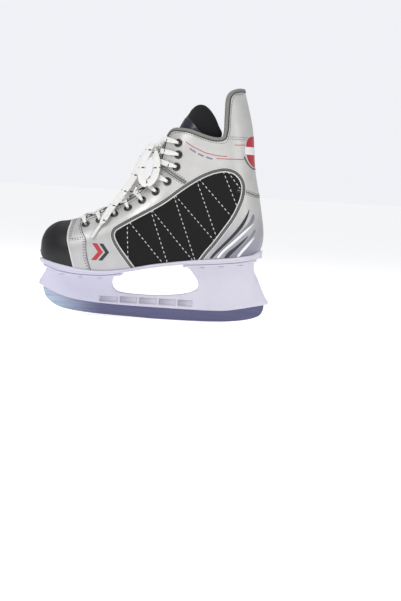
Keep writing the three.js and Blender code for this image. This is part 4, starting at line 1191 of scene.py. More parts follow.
# ---- Lace ------------------------------------------------------------------------------------
LEFT_LOOP = [
    (-104.2, -9.3, 127.5), (-107, -14.2, 124.5), (-109.5, -18, 117), (-113, -21.5, 108),
    (-115.6, -24.5, 98), (-116.2, -27.5, 89), (-114.5, -30.5, 81.5), (-110, -33, 77.8),
    (-104.5, -34, 79.5), (-100.2, -33.5, 85), (-98, -31, 93), (-97.6, -27, 102),
    (-99.2, -23, 109.5), (-101.2, -18, 114.5), (-102.8, -13, 118), (-104, -9.5, 119.4)]
RIGHT_LOOP = [
    (-104.2, 9.1, 127.2), (-108, 14.5, 124.5), (-111, 19, 117), (-115, 23, 107.5),
    (-118.5, 26.5, 97), (-120.5, 30, 87), (-120.5, 33.5, 78.5), (-117, 36.5, 73),
    (-111, 38, 72.5), (-105.5, 37.5, 77.5), (-101.5, 35.5, 86), (-99.5, 31.5, 96),
    (-99, 26, 105.5), (-100, 19.5, 113), (-102.8, 14, 117), (-104, 9.2, 119.4)]
LONG_END = [
    (-109.3, -1.5, 120), (-113.5, -3.5, 114), (-117.5, -5.5, 106), (-121, -8, 96.5),
    (-125, -11, 86.5), (-130, -14.5, 76.5), (-136, -18.5, 66.5), (-142.5, -23.5, 57),
    (-149, -29, 47.5), (-154.8, -35.2, 38), (-159, -41.2, 29.5), (-163, -43.5, 22.5)]
SHORT_END = [
    (-106.5, 3.2, 118.1), (-112.2, 6.6, 111), (-117, 11, 102.5), (-120.5, 15, 93.5),
    (-124, 19.5, 84), (-127.5, 24, 74.5), (-131, 29, 65.5), (-134, 35, 57),
    (-136.5, 39.5, 48.5)]
KNOT = np.array([-101.5, 0.0, 121.0])
KNOT_BANDS = [(0.0, 5.6, 9.5, 0.0), (0.62, 6.1, 8.0, 1.0), (-0.62, 6.5, 8.0, -1.0),
              (1.35, 4.9, 8.5, 0.0)]  # tilt, radius, width, shift across
KNOT_STEPS, KNOT_CROWN = 40, 3.2
AGLET_RADIUS, AGLET_LENGTH = 1.9, 19.0
AGLET_RUNS = [0.3, 0.5, 1.4, 1.8, 2.4, 2.8, 3.6, AGLET_LENGTH - 1.5, AGLET_LENGTH - 0.5,
              AGLET_LENGTH]
AGLET_SHARES = np.array([0.86, 0.97, 1.0, 0.93, 0.93, 1.0, 0.99, 0.95, 0.85, 0.62])
AGLET_SEGMENTS = 16
LACE_OPEN, LACE_BUNCHED, LACE_AT_TIP = 6.4, 3.2, 3.2
LACE_STEPS = 6


def carried_faces(path, wanted, ease):
    """A face direction carried along a path and eased towards the wanted one."""
    tangent = unit(np.gradient(path, axis=0))
    face, faces = wanted[0].copy(), []
    for t, w in zip(tangent, wanted):
        face = unit(face - t * np.dot(face, t))
        aim = w - t * np.dot(w, t)
        if np.linalg.norm(aim) > 0.6:
            aim = unit(aim)
            aim = -aim if np.dot(aim, face) < 0 else aim
            face = unit(face + (aim - face) * ease)
        faces.append(face)
    return softened(faces, 4)


def lace_profile(power):
    """The lace's section for a width of 1."""
    thickness = bpy.context.scene.skate_lace.lace_thickness / MM
    return superellipse(0.5, thickness / 2, power, 12)


def lace_object(name, path, faces, widths):
    """A flat lace with rounded edges along a path."""
    places, lists, uvs = sweep(path, faces, lace_profile(5.0), widths=widths)
    return mesh_object(name, places, lists, lace_cotton(), uvs, 60)


def loose_lace(name, node, route, lean, tip):
    """A loose part of the lace as a flat lace; returns the piece."""
    width = bpy.context.scene.skate_lace.lace_width / MM
    path = spline(route, (len(route) - 1) * 8)
    wanted = np.tile(np.array([-0.45, lean, 0.35]), (len(path), 1))
    ease = np.linspace(0, 1, len(path))
    widths = width + (tip - width) * smoothstep(0.9, 1.0, ease)
    widths *= 1 - 0.3 * smoothstep(0.06, 0.0, ease) - (0.3 if tip == width else 0) * smoothstep(
        0.94, 1.0, ease)
    piece = lace_object(name, path, carried_faces(path, wanted, 0.12), widths)
    settled(piece, "lace_cotton", with_boot, node)
    return piece


def aglet(name, node, route):
    """The crimped plastic tip past the end of a loose lace."""
    a, b = np.array(route[-2]), np.array(route[-1])
    along = unit(b - a)
    path = b + np.outer(AGLET_RUNS, along)
    around = unit(np.cross(along, [0, 0, 1.0]))
    profile = superellipse(1.0, 1.0, 2.0, AGLET_SEGMENTS)
    places, faces, uvs = sweep(path, np.tile(np.cross(around, along), (len(path), 1)), profile)
    rings = places.reshape(len(path), AGLET_SEGMENTS, 3)
    radii = (AGLET_RADIUS * AGLET_SHARES)[:, None, None]
    rings = path[:, None] + (rings - path[:, None]) * radii
    piece = mesh_object(name, rings.reshape(-1, 3), faces, aglet_plastic(), uvs, 50)
    return settled(piece, "aglet_plastic", with_boot, node)


def aglet_plastic():
    return moulded_plastic("aglet_plastic", ink(226, 224, 216), 0.22, 0.4, 0.05)


class SKATE_OT_loose_lace(bpy.types.Operator):
    """Makes the bow's two loops and the lace's two hanging ends with their tips"""
    bl_idname = "skate.loose_lace"
    bl_label = "Bow loops and lace ends"

    def execute(self, context):
        width = context.scene.skate_lace.lace_width / MM
        loose_lace("bow_loop_left", "left_bow_loop", LEFT_LOOP, -0.8, width)
        loose_lace("bow_loop_right", "right_bow_loop", RIGHT_LOOP, 0.8, width)
        long_tip = aglet("lace_tip_long", "long_aglet", LONG_END)
        short_tip = aglet("lace_tip_short", "short_aglet", SHORT_END)
        loose_lace("lace_end_long", "long_lace_end", LONG_END, -0.8, LACE_AT_TIP)
        loose_lace("lace_end_short", "short_lace_end", SHORT_END, 0.8, LACE_AT_TIP)
        return {"FINISHED"}


def towards_ridge(x, z):
    """The direction and distance to the nearest point of the ridge in side view."""
    gap = RIDGE_LINE - np.array([x, z])
    reach = np.linalg.norm(gap, axis=1)
    k = int(np.argmin(reach))
    return gap[k] / reach[k], reach[k]


def lace_stop(side, x, z, out, width):
    place, normal = on_boot(side, [(x, z)], out)
    return place[0], normal[0], width


def out_of_eyelet(side, i):
    x, z = EYELETS[i]
    way, reach = towards_ridge(x, z)
    first = lace_stop(side, x, z, -1.2, LACE_BUNCHED)
    stops = [(first[0], np.array([way[0], 0, way[1]]), LACE_BUNCHED)]
    runs = [(0.8, 3.0, 3.6), (6.0, 2.9, 5.4)]
    runs += [(s * (reach - 3), 2.3, LACE_OPEN) for s in (0.5, 0.8) if s * (reach - 3) > 9]
    runs.append((reach - 3, 2.5, LACE_OPEN))
    return stops + [lace_stop(side, x + way[0] * d, z + way[1] * d, out, w)
                    for d, out, w in runs]


def into_eyelet(side, i):
    x, z = EYELETS[i]
    way, reach = towards_ridge(x, z)
    runs = [(reach - 2.2, -4.9, 5.0), (reach * 0.55, -5.2, 4.4), (reach * 0.28, -5.3, 3.8),
            (0.6, -5.0, LACE_BUNCHED)]
    return [lace_stop(side, x + way[0] * d, z + way[1] * d, out, w) for d, out, w in runs]


def ridge_stop(x, z, beyond, width):
    """A stop on the middle plane, beyond the ridge by so much."""
    way, reach = towards_ridge(x, z)
    place = np.array([x + way[0] * (reach + beyond), 0, z + way[1] * (reach + beyond)])
    return place, np.array([way[0], 0, way[1]]), width


def half_lacing(side):
    stops = []
    for i in range(len(EYELETS)):
        here = -side if i % 2 else side
        stops += out_of_eyelet(here, i)
        if i + 1 < len(EYELETS):
            middle = (EYELETS[i] + EYELETS[i + 1]) / 2
            stops.append(ridge_stop(*middle, 0.6 if side > 0 else -1.8, LACE_OPEN))
            stops += into_eyelet(-here, i + 1)
    end = KNOT + np.array([1.5, -side * 7.8, 4])
    stops.append((end, np.array([-1, 0, 0.2]), 4.9))
    return stops


def lowest_bar():
    x, z = EYELETS[0]
    way, _ = towards_ridge(x, z)

    def half(side):
        return [lace_stop(side, x + way[0] * 0.6, z + way[1] * 0.6, -5.0, 2.8),
                lace_stop(side, x - 1, z + 8, -4.3, 5.4)]
    return half(-1) + [ridge_stop(x, z, -4.0, 5.4)] + half(1)[::-1]


def knot_bands():
    """The knot: a wound core with bands of lace wrapped over it at three angles."""
    shapes, all_uvs = [], []
    turn = np.linspace(0, 2 * math.pi, KNOT_STEPS + 1)[:-1]
    crowned = [(a, b - KNOT_CROWN * a * a) for a, b in lace_profile(4.0)]
    for tilt, radius, width, shift in KNOT_BANDS:
        ring = np.stack([np.cos(turn), np.zeros(KNOT_STEPS), np.sin(turn)], -1)
        c, s = math.cos(tilt), math.sin(tilt)
        spin = np.array([[1, 0, 0], [0, c, -s], [0, s, c]])
        out = ring @ spin.T
        path = KNOT + out * radius * np.array([1, 1.1, 1]) + np.array([0, shift, 0])
        places, faces, uvs = sweep(path, out, crowned, closed=True,
                                   widths=np.full(KNOT_STEPS, width))
        shapes.append((places, faces))
        all_uvs.append(uvs)
    return shapes, np.concatenate(all_uvs)


class SKATE_OT_lacing(bpy.types.Operator):
    """Threads the lace through the eyelets and ties its knot"""
    bl_idname = "skate.lacing"
    bl_label = "Lacing and knot"

    def execute(self, context):
        stops = half_lacing(-1)[::-1] + lowest_bar() + half_lacing(1)
        path = spline([s[0] for s in stops], (len(stops) - 1) * LACE_STEPS)
        at = np.arange(len(path)) / LACE_STEPS
        index = np.arange(len(stops))
        wanted = np.stack([np.interp(at, index, [s[1][k] for s in stops]) for k in range(3)], -1)
        widths = softened(np.interp(at, index, [s[2] for s in stops]), 3) * 1.04
        piece = lace_object("lace_lacing", path, carried_faces(path, wanted, 0.3), widths)
        settled(piece, "lace_cotton", with_boot, "lacing")
        shapes, uvs = knot_bands()
        knot = mesh_object("lace_knot", *merged(*shapes), lace_cotton(), uvs, 60)
        settled(knot, "lace_cotton", with_boot, "bow_knot")
        return {"FINISHED"}


# ---- The boot's skins --------------------------------------------------------------------
SEAM_GAP = 0.06
EYELET_HOLE_RADIUS = 3.4
THROAT_REAR_X = -60
VAMP_PATCH = [(-210, 2.5), (-199.3, 3.7), (-189, 5.6), (-181.5, 7.2), (-179.8, 5.5),
              (-179.2, 0), (-178.9, -6.3), (-176.8, -20), (-171, -40), (-215, -45)]


def seam_field(line, front):
    """Positive on the toe's side of a seam that crosses the boot, or behind it."""
    outline = np.concatenate([[(-270, 90)], line, [(-270, -60)]])
    field = region(outline)
    return field if front else -field


def eyelet_holes():
    """Positive away from the eyelets on the left side."""
    places, _ = on_boot(-1, EYELETS)
    gap = np.full(FORM.places.shape[:2], FAR)
    for place in places:
        reach = np.linalg.norm(FORM.places - place, axis=-1)
        gap = np.minimum(gap, reach - EYELET_HOLE_RADIUS)
    return gap


def panel_field():
    return region(PANEL)


def throat_field():
    """Positive outside the throat's opening, which ends well before the back."""
    return np.where(FORM.places[..., 0] > THROAT_REAR_X, FAR,
                    np.abs(FORM.places[..., 1]) - THROAT_HALF_WIDTH)


def shell_piece(name, shape, material, nodes, slot, follow):
    """A piece made from places and faces, in place of its CAD nodes."""
    return settled(mesh_object(name, *shape, material), slot, follow, *nodes)


class SKATE_OT_toe(bpy.types.Operator):
    """Moulds the toe cap and cuts the vamp with its overlaid patch"""
    bl_idname = "skate.toe"
    bl_label = "Toe cap and vamp"

    def execute(self, context):
        toe = seam_field(TOE_SEAM, True)
        cap = skin(toe - SEAM_GAP, 3.2, 0.9, 0.5, left_only=False)
        shell_piece("toe_cap_shell", cap, toe_plastic(), ["toe_cap"], "toe_plastic", with_boot)
        field = np.minimum(-toe, seam_field(VAMP_SEAM, True))
        vamp = skin(field - SEAM_GAP, out=0.0, left_only=False)
        shell_piece("vamp_leather", vamp, silver_leather(), ["vamp"], "silver_leatherette",
                    with_boot)
        patch = region(VAMP_PATCH) - 0.1
        overlay = both_sides(skin(np.minimum(patch, -toe - 0.6), 0.9, 0.4, 0.55))
        shell_piece("vamp_patch", overlay, silver_leather(), [], "silver_leatherette", with_boot)
        return {"FINISHED"}


class SKATE_OT_quarters(bpy.types.Operator):
    """Cuts the lower and upper quarters of both sides, with holes for the eyelets"""
    bl_idname = "skate.quarters"
    bl_label = "Quarters"

    def execute(self, context):
        panel, holes, throat = panel_field(), eyelet_holes(), throat_field()
        seam = VAMP_SEAM[VAMP_SEAM[:, 1] < 25][::-1]
        lower = np.concatenate([seam, THROAT_EDGE, QUARTER_SEAM,
                                [(-60, 66), (-110, 0), (-112, -60)]])
        field = np.minimum(region(lower), -seam_field(VAMP_SEAM, True))
        field = np.minimum(np.minimum(field, -panel), np.minimum(holes, throat)) - SEAM_GAP
        shell_piece("lower_quarters", both_sides(skin(field)), silver_leather(),
                    sides("lower_quarter"), "silver_leatherette", with_boot)
        upper = np.concatenate([QUARTER_SEAM[::-1], FRONT_EDGE, COLLAR_EDGE[1:],
                                [(-15.6, 139), (60, 139)], HEEL_SEAM[::-1], [(-50, 74)]])
        field = np.minimum(np.minimum(region(upper), -panel), np.minimum(holes, throat))
        field = np.minimum(field, -FORM.places[..., 1] - 0.05) - SEAM_GAP
        shell_piece("upper_quarters", both_sides(skin(field)), silver_leather(),
                    sides("upper_quarter"), "silver_leatherette", with_collar)
        return {"FINISHED"}


class SKATE_OT_heel(bpy.types.Operator):
    """Moulds the heel counter and the flexible guard over the tendon"""
    bl_idname = "skate.heel"
    bl_label = "Heel counter and tendon guard"

    def execute(self, context):
        outline = np.concatenate([HEEL_SEAM, [(60, -40), (-48, -40), (-44, 0), (-10, 50)]])
        field = np.minimum(region(outline), -panel_field()) - SEAM_GAP
        shell_piece("heel_leather", skin(field, left_only=False), silver_leather(),
                    ["heel_counter"], "silver_leatherette", with_boot)
        field = region(guard_outline()) - SEAM_GAP
        shell_piece("guard_leather", skin(field, left_only=False), silver_leather(),
                    ["tendon_guard"], "silver_leatherette", with_collar)
        grid = FormGrid(3.45)
        field = region(guard_outline(), grid) - 1.2
        pad = shell_piece("guard_padding", skin(field, GUARD_PAD_THICKNESS, 1.6, grid=grid),
                          lining_cloth(), ["guard_pad"], "lining_fabric", with_collar)
        return {"FINISHED"}


def guard_outline():
    return np.concatenate([GUARD_FRONT, [(30, 201), (60, 201), (60, 139.2), (-15.6, 139.2)]])


class SKATE_OT_panels(bpy.types.Operator):
    """Cuts the woven side panels"""
    bl_idname = "skate.panels"
    bl_label = "Side panels"

    def execute(self, context):
        field = panel_field() - SEAM_GAP
        shell_piece("woven_panels", both_sides(skin(field, out=-0.25)), black_weave(),
                    sides("side_panel"), "black_weave", with_boot)
        return {"FINISHED"}


TONGUE_OUTLINE = np.concatenate([
    [(-150, 60), (-204, 40), (-204, 22)],
    spline([(-200, 16), (-183, 16.5), (-150, 30), (-120, 46), (-96, 64), (-80, 82), (-70, 104),
            (-66, 122), (-58, 134), (-40, 138), (-22, 139.5), (-18.6, 145), (-23.2, 154.7),
            (-27.6, 163.9), (-31.6, 169.8), (-38.3, 176.8), (-45, 180.6), (-54, 180.2),
            (-64, 173)], 120),
    [(-140, 174)],
])
TONGUE_PATCH = [(-110, 131), (-52, 131), (-42.5, 142.5), (-62.5, 163), (-110, 163)]


def tongue_grid(out):
    """The tongue's face, crowned away from its edges, with its field."""
    grid = FormGrid(lambda z: 7.2 + 4.8 * smoothstep(62, 142, z))
    field = region(TONGUE_OUTLINE, grid)
    crown = 1.6 * smoothstep(0, 16, field)[..., None] - 1.2
    grid.places = grid.places + grid.normals * (crown + out)
    return grid, field


class SKATE_OT_tongue(bpy.types.Operator):
    """Makes the felt tongue with its front patch"""
    bl_idname = "skate.tongue"
    bl_label = "Tongue"

    def execute(self, context):
        grid, field = tongue_grid(0.0)
        piece = shell_piece("tongue_felt_body", skin(field, TONGUE_THICKNESS, 2.4, grid=grid),
                            tongue_felt(), ["tongue_lower", "tongue_upper"], "tongue_felt",
                            with_tongue)
        grid, field = tongue_grid(0.5)
        patch = np.minimum(region(TONGUE_PATCH, grid), field - 3.0)
        shell_piece("tongue_patch", skin(patch, 1.2, 0.4, grid=grid), patch_vinyl(), [],
                    "tongue_felt", with_tongue)
        return {"FINISHED"}


class SKATE_OT_lining(bpy.types.Operator):
    """Makes the ankle lining and the footbed"""
    bl_idname = "skate.lining"
    bl_label = "Lining and footbed"

    def execute(self, context):
        grid = FormGrid(LINING_INSET)
        outline = np.concatenate([LINING_FRONT, [(60, 137), (60, -60), (-194, -60)]])
        x, z = grid.places[..., 0], grid.places[..., 2]
        field = np.minimum(region(outline, grid), z - footbed_top(x) - 0.4)
        piece = shell_piece("lining_padding", skin(field, LINING_THICKNESS, 1.2, grid=grid),
                            lining_cloth(), ["ankle_lining"], "lining_fabric", with_collar)
        bed = shell_piece("footbed_foam", footbed_shape(), footbed_cloth(), ["footbed"],
                          "lining_fabric", with_boot)
        dress_node("insole_board", board_fibre())
        return {"FINISHED"}


def footbed_top(x):
    rise = np.interp(x, [-38, -24, 20, 36, 60], [0, 0, 0, 4, 6])
    return sole_line(x) + 8.8 + rise


def loft(sections):
    """Closed rings of equal count joined in order, capped at both ends."""
    sections = np.asarray(sections, float)
    count, around = sections.shape[:2]
    faces = [[i * around + j, i * around + (j + 1) % around,
              (i + 1) * around + (j + 1) % around, (i + 1) * around + j]
             for i in range(count - 1) for j in range(around)]
    faces += [list(reversed(range(around))), list(range((count - 1) * around, count * around))]
    return sections.reshape(-1, 3), faces


def end_spaced(a, b, count):
    """Stations from a to b that crowd towards both ends."""
    return a + (b - a) * (1 - np.cos(np.linspace(0, math.pi, count))) / 2


def footbed_shape():
    inset = LINING_INSET + LINING_THICKNESS + 0.5
    sections = []
    for x in end_spaced(NOSE_X + inset + 4, 26.0, 90):
        top = footbed_top(x)
        width = max(1.0, float(half_width(x, top - 1, inset)))
        ring = []
        for a in np.linspace(0, 2 * math.pi, 28, endpoint=False):
            c, s = math.cos(a), math.sin(a)
            y = width * math.copysign(abs(c) ** 0.3, c)
            dish = 1.2 * (1 - (y / width) ** 2)
            z = top - 2.2 + 1.9 * math.copysign(abs(s) ** 0.5, s) - dish * 0.5
            ring.append((x, y, z))
        sections.append(ring[::-1])
    return loft(sections)


# ---- Sole, holder and runner ---------------------------------------------------------------
OUTSOLE_BOTTOM = spline([
    (-237.6, -27.6), (-228.6, -30.5), (-217, -35), (-198, -38.4), (-179, -39.4), (-160, -39.2),
    (-148, -37.9), (-135.6, -35.6), (-117, -31.3), (-98.5, -27.4), (-80, -23.8), (-61, -21),
    (-42.6, -19.4), (-24, -17.8), (-5, -15.6), (13, -13.2), (25.7, -10.6), (41, -7.2)], 130)
RAIL_BOTTOM = spline([(-236, -56), (-224, -62), (-203, -70), (-171, -74.7), (-120, -76.6),
                      (-20, -76.9), (17, -72.6), (50, -65)], 90)
HOLDER_REAR = spline([(31, -10), (31.4, -22.2), (37.2, -34.4), (42.9, -46.6), (48.6, -57.5),
                      (52, -62.3), (50.6, -65)], 36)
HOLDER_BOTTOM = spline([
    (44, -66.6), (35.5, -68.4), (17, -72.6), (-1.6, -75.9), (-20.4, -76.9), (-70, -77),
    (-120, -76.6), (-146, -76), (-171, -74.7), (-190, -72.6), (-203, -70), (-214, -66.4),
    (-224.5, -61.8), (-234, -57)], 90)
HOLDER_FRONT = spline([(-236.6, -55.4), (-236.6, -53), (-232, -43.5), (-226, -33)], 16)
WINDOW = np.concatenate([
    spline([(-134, -36), (-139.6, -38.6), (-144, -43), (-145.2, -49.3), (-143.4, -55),
            (-138.6, -59.1), (-127.7, -61.2), (-108.9, -62), (-90, -62), (-71.5, -60.4),
            (-53, -57.5), (-45, -54.8), (-38.8, -51.2), (-36.9, -46.5), (-38.6, -39.1),
            (-43.1, -33), (-48.5, -26.4), (-54, -22.6)], 120),
    [(-56, 0), (-130, 0)],
])
RAIL_RECESSES = [(-160, -137, -66.0), (-134.5, -112.5, -65.2), (-110, -88, -65.2),
                 (-85.5, -64, -65.2), (-61.5, -43, -65.2)]
RECESS_BOTTOM, RECESS_DEPTH = -73.4, 2.6
RAIL_HALF_WIDTH, POST_HALF_WIDTH, FLANGE_THICKNESS = 6.5, 17.0, 3.0
HEEL_LIP = 3.6
OUTSOLE_FRONT, OUTSOLE_REAR = -237.6, 40.8
SOLID_PITCH = 1.0
RIVET_STATIONS = [-207, -184, -160, -34, -10, 14]


def outsole_bottom(x):
    return np.interp(x, OUTSOLE_BOTTOM[:, 0], OUTSOLE_BOTTOM[:, 1])


def rail_bottom(x):
    return np.interp(x, RAIL_BOTTOM[:, 0], RAIL_BOTTOM[:, 1])


def sole_half(x):
    return np.maximum(2.0, half_width(x, sole_edge(x) + 1))


def flange_half(x):
    return np.maximum(6.0, half_width(x, sole_edge(x) + 1) - 2.5)


def outsole_shape():
    """The outsole: a band with a lower step, following the boot's plan."""
    sections = []
    for x in end_spaced(OUTSOLE_FRONT, OUTSOLE_REAR, 150):
        inner = float(np.clip(x, -236.2, 38.2))
        width = float(sole_half(inner)) + SOLE_MARGIN
        ends = (quarter_round((x - OUTSOLE_FRONT) / 4.0, 2.0)
                * quarter_round((OUTSOLE_REAR - x) / 3.0, 2.0))
        width = max(0.8, width * (0.35 + 0.65 * ends))
        lip = HEEL_LIP * float(smoothstep(27, 38, x))
        top, bottom = float(sole_line(x)) - 0.25 + lip, float(outsole_bottom(x))
        height = max(top - bottom, 1.6)
        half = [(width - 2.4, top), (width - 0.7, top - 0.1), (width, top - 0.7),
                (width + 0.15, top - 0.42 * height), (width - 0.15, top - 0.52 * height),
                (width - 1.1, top - 0.56 * height), (width - 1.2, top - 0.62 * height),
                (width - 1.0, bottom + 0.9), (width - 1.8, bottom + 0.15),
                (width - 3.4, bottom)]
        half = [(max(y, 0.2), z) for y, z in half]
        ring = [(x, y, z) for y, z in half] + [(x, -y, z) for y, z in reversed(half)]
        sections.append(ring)
    return loft(sections)


def side_solid(outline, holes, half, roll):
    """A solid standing on the middle plane, with a side-view outline and a half width."""
    low, high = outline.min(0) - 2, outline.max(0) + 2
    counts = np.ceil((high - low) / SOLID_PITCH).astype(int)
    x, z = np.meshgrid(np.linspace(low[0], high[0], counts[0]),
                       np.linspace(low[1], high[1], counts[1]), indexing="ij")
    flat = np.stack([x, z], -1)
    field = signed_distance(flat, outline)
    for hole in holes:
        field = np.minimum(field, -signed_distance(flat, hole))
    y = -half(x, z, field)
    places = np.stack([x, y, z], -1)
    facing = np.tile(np.array([0.0, -1.0, 0.0]), (*x.shape, 1))
    p, n, faces = clipped(places, facing, field - roll, False)
    if np.cross(p[faces[0][1]] - p[faces[0][0]], p[faces[0][2]] - p[faces[0][0]])[1] > 0:
        faces = [f[::-1] for f in faces]
    return thick_skin(p, n, faces, -2 * p[:, 1], roll, roll_under=True)


def holder_half(x, z, field):
    """Half the holder's width: a slim rail that spreads into posts under the boot."""
    low, high = rail_bottom(x) - 4, outsole_bottom(x) - 3.3
    t = np.clip((z - low) / (high - low), 0, 1)
    post = np.minimum(POST_HALF_WIDTH, flange_half(x) - 3)
    width = RAIL_HALF_WIDTH + (post - RAIL_HALF_WIDTH) * t**2.2
    for a, b, top in RAIL_RECESSES:
        depth = np.minimum(np.minimum(x - a, b - x), np.minimum(top - z, z - RECESS_BOTTOM))
        width = width - RECESS_DEPTH * smoothstep(-0.2, 0.9, depth)
    edge = smoothstep(3.2, 0.0, field)
    return width - 0.5 * edge


def holder_outline():
    x = np.linspace(-225.5, 30.5, 120)
    top = np.stack([x, outsole_bottom(x) - 1.2], -1)
    return np.concatenate([HOLDER_REAR, HOLDER_BOTTOM, HOLDER_FRONT, top])


def flange_shape(a, b):
    """The flange that the rivets pass through, from station a to b."""
    sections = []
    for x in end_spaced(a, b, 70):
        top = float(outsole_bottom(x)) - 0.25
        ends = quarter_round((x - a) / 6, 2.2) * quarter_round((b - x) / 6, 2.2)
        width = float(flange_half(min(x, 37.0))) * (0.72 + 0.28 * ends)
        half = [(width - 0.9, top), (width, top - 0.8), (width, top - FLANGE_THICKNESS + 0.9),
                (width - 0.9, top - FLANGE_THICKNESS)]
        sections.append([(x, y, z) for y, z in half] + [(x, -y, z) for y, z in reversed(half)])
    return loft(sections)


class SKATE_OT_sole(bpy.types.Operator):
    """Moulds the outsole and the blade holder with its flange, window and recesses"""
    bl_idname = "skate.sole"
    bl_label = "Outsole and blade holder"

    def execute(self, context):
        shell_piece("outsole_plate", outsole_shape(), sole_plastic(), ["outsole"],
                    "sole_plastic", with_boot)
        body = side_solid(holder_outline(), [WINDOW], holder_half, 0.9)
        whole = merged(body, flange_shape(-232, -132.5), flange_shape(-57.5, 34))
        shell_piece("holder_moulding", whole, sole_plastic(), ["blade_holder"],
                    "sole_plastic", with_boot)
        return {"FINISHED"}


def runner_outline():
    x = np.linspace(-222, 40, 90)
    top = np.stack([x, rail_bottom(x) + 5.0], -1)
    return np.concatenate([
        [(-228, -53.5)], top, [(44.5, -60.5)],
        spline([(46.6, -66), (46, -72), (42.4, -79), (35, -83), (25, -86), (5.5, -89.1),
                (-13, -90.5), (-48, -91.4)], 60),
        spline([(-92, -91.4), (-119.7, -90.6), (-145, -89.9), (-170, -88.8), (-195, -86.4),
                (-210, -83.2), (-220.7, -77.5), (-227.5, -71), (-231.5, -60.5)], 60)])


def runner_half(x, z, field):
    """Half the runner's thickness, with a ground hollow's bevel at its edge."""
    return 1.8 - 0.55 * smoothstep(1.6, 0.0, field) * smoothstep(-80, -86, z)


class SKATE_OT_runner(bpy.types.Operator):
    """Grinds the steel runner"""
    bl_idname = "skate.runner"
    bl_label = "Runner"

    def execute(self, context):
        shape = side_solid(runner_outline(), [], runner_half, 0.3)
        shell_piece("steel_runner", shape, runner_steel(), ["runner"], "runner_steel", with_boot)
        return {"FINISHED"}


# ---- Fixings -------------------------------------------------------------------------------
EYELET_PROFILE = [(2.5, -2.9), (3.2, -2.9), (3.2, 0.15), (5.1, 0.15), (5.4, 0.4), (5.3, 0.85),
                  (4.7, 1.3), (3.8, 1.4), (3.0, 1.05), (2.5, 0.3)]
RIVET_PROFILE = [(0.5, -6.0), (1.8, -6.0), (1.8, 0.0), (3.6, 0.0), (3.55, 0.5), (2.9, 1.1),
                 (1.8, 1.4), (1.1, 1.35), (0.6, 0.8)]


def rivet_steel():
    return enamel("rivet_steel", ink(165, 165, 172), 0.3, 0.9)


class SKATE_OT_fixings(bpy.types.Operator):
    """Sets the eyelets in both rows and the rivets that hold the blade holder"""
    bl_idname = "skate.fixings"
    bl_label = "Eyelets and rivets"

    def execute(self, context):
        left, right = on_boot(-1, EYELETS), on_boot(1, EYELETS)
        places, facing = np.concatenate([left[0], right[0]]), np.concatenate([left[1], right[1]])
        rings = placed_fixings("eyelet_rings", EYELET_PROFILE, places, facing, enamel(), 24)
        numbers = range(1, len(EYELETS) + 1)
        settled(rings, "eyelet_enamel", with_boot,
                *[f"{side}_eyelet_{i}" for side in ("left", "right") for i in numbers])
        spots = []
        for x in RIVET_STATIONS:
            inner = min(POST_HALF_WIDTH, float(flange_half(x)) - 3)
            y = inner + (float(flange_half(x)) - inner) * 0.55
            z = float(outsole_bottom(x)) - FLANGE_THICKNESS - 0.25
            spots += [(x, -y, z), (x, y, z)]
        down = np.tile(np.array([0.0, 0.0, -1.0]), (len(spots), 1))
        heads = placed_fixings("sole_rivets", RIVET_PROFILE, spots, down, rivet_steel(), 20)
        settled(heads, "rivet_steel", with_boot,
                *[f"sole_rivet_{i + 1}" for i in range(len(spots))])
        return {"FINISHED"}


# ---- Bindings and pipings ------------------------------------------------------------------
def to_the_back(line):
    """The part of a side-view line that stays clear of the back's turn."""
    line = np.asarray(line, float)
    return line[line[:, 0] < back_edge(line[:, 1]) - 3]


def tube(path, normals, radius, rise):
    """A round or flattened strip along a path."""
    return sweep(path, normals, superellipse(radius, rise or radius, 2.2, 10))


def trim(name, tubes, material, slot, follow):
    """Several swept strips as one piece."""
    shape = merged(*[(places, faces) for places, faces, _ in tubes])
    uvs = np.concatenate([uv for _, _, uv in tubes])
    return settled(mesh_object(name, *shape, material, uvs, 55), slot, follow)


def on_both(line, out, radius, rise=None):
    """The same strip along a side-view line on both sides."""
    line = above_sole(line, -1.0)
    return [tube(*side_line(line, out, side), radius, rise) for side in (-1, 1)]


def edging_vinyl():
    return ribbed_vinyl("edging_vinyl", ink(132, 132, 126), 0.5, 0.3)


def pale_piping():
    return ribbed_vinyl("pale_piping", ink(214, 214, 208), 0.4)


def grey_piping():
    return ribbed_vinyl("grey_piping", ink(112, 112, 112), 0.45, 0.5)


def dark_piping():
    return ribbed_vinyl("dark_piping", ink(34, 34, 38), 0.45, 0.3)


def band_cloth():
    return cloth("band_cloth", ink(104, 104, 104), 0.9, 0.6, sheen=0.05, light=1.9)


BAND_WIDTH = 4.6


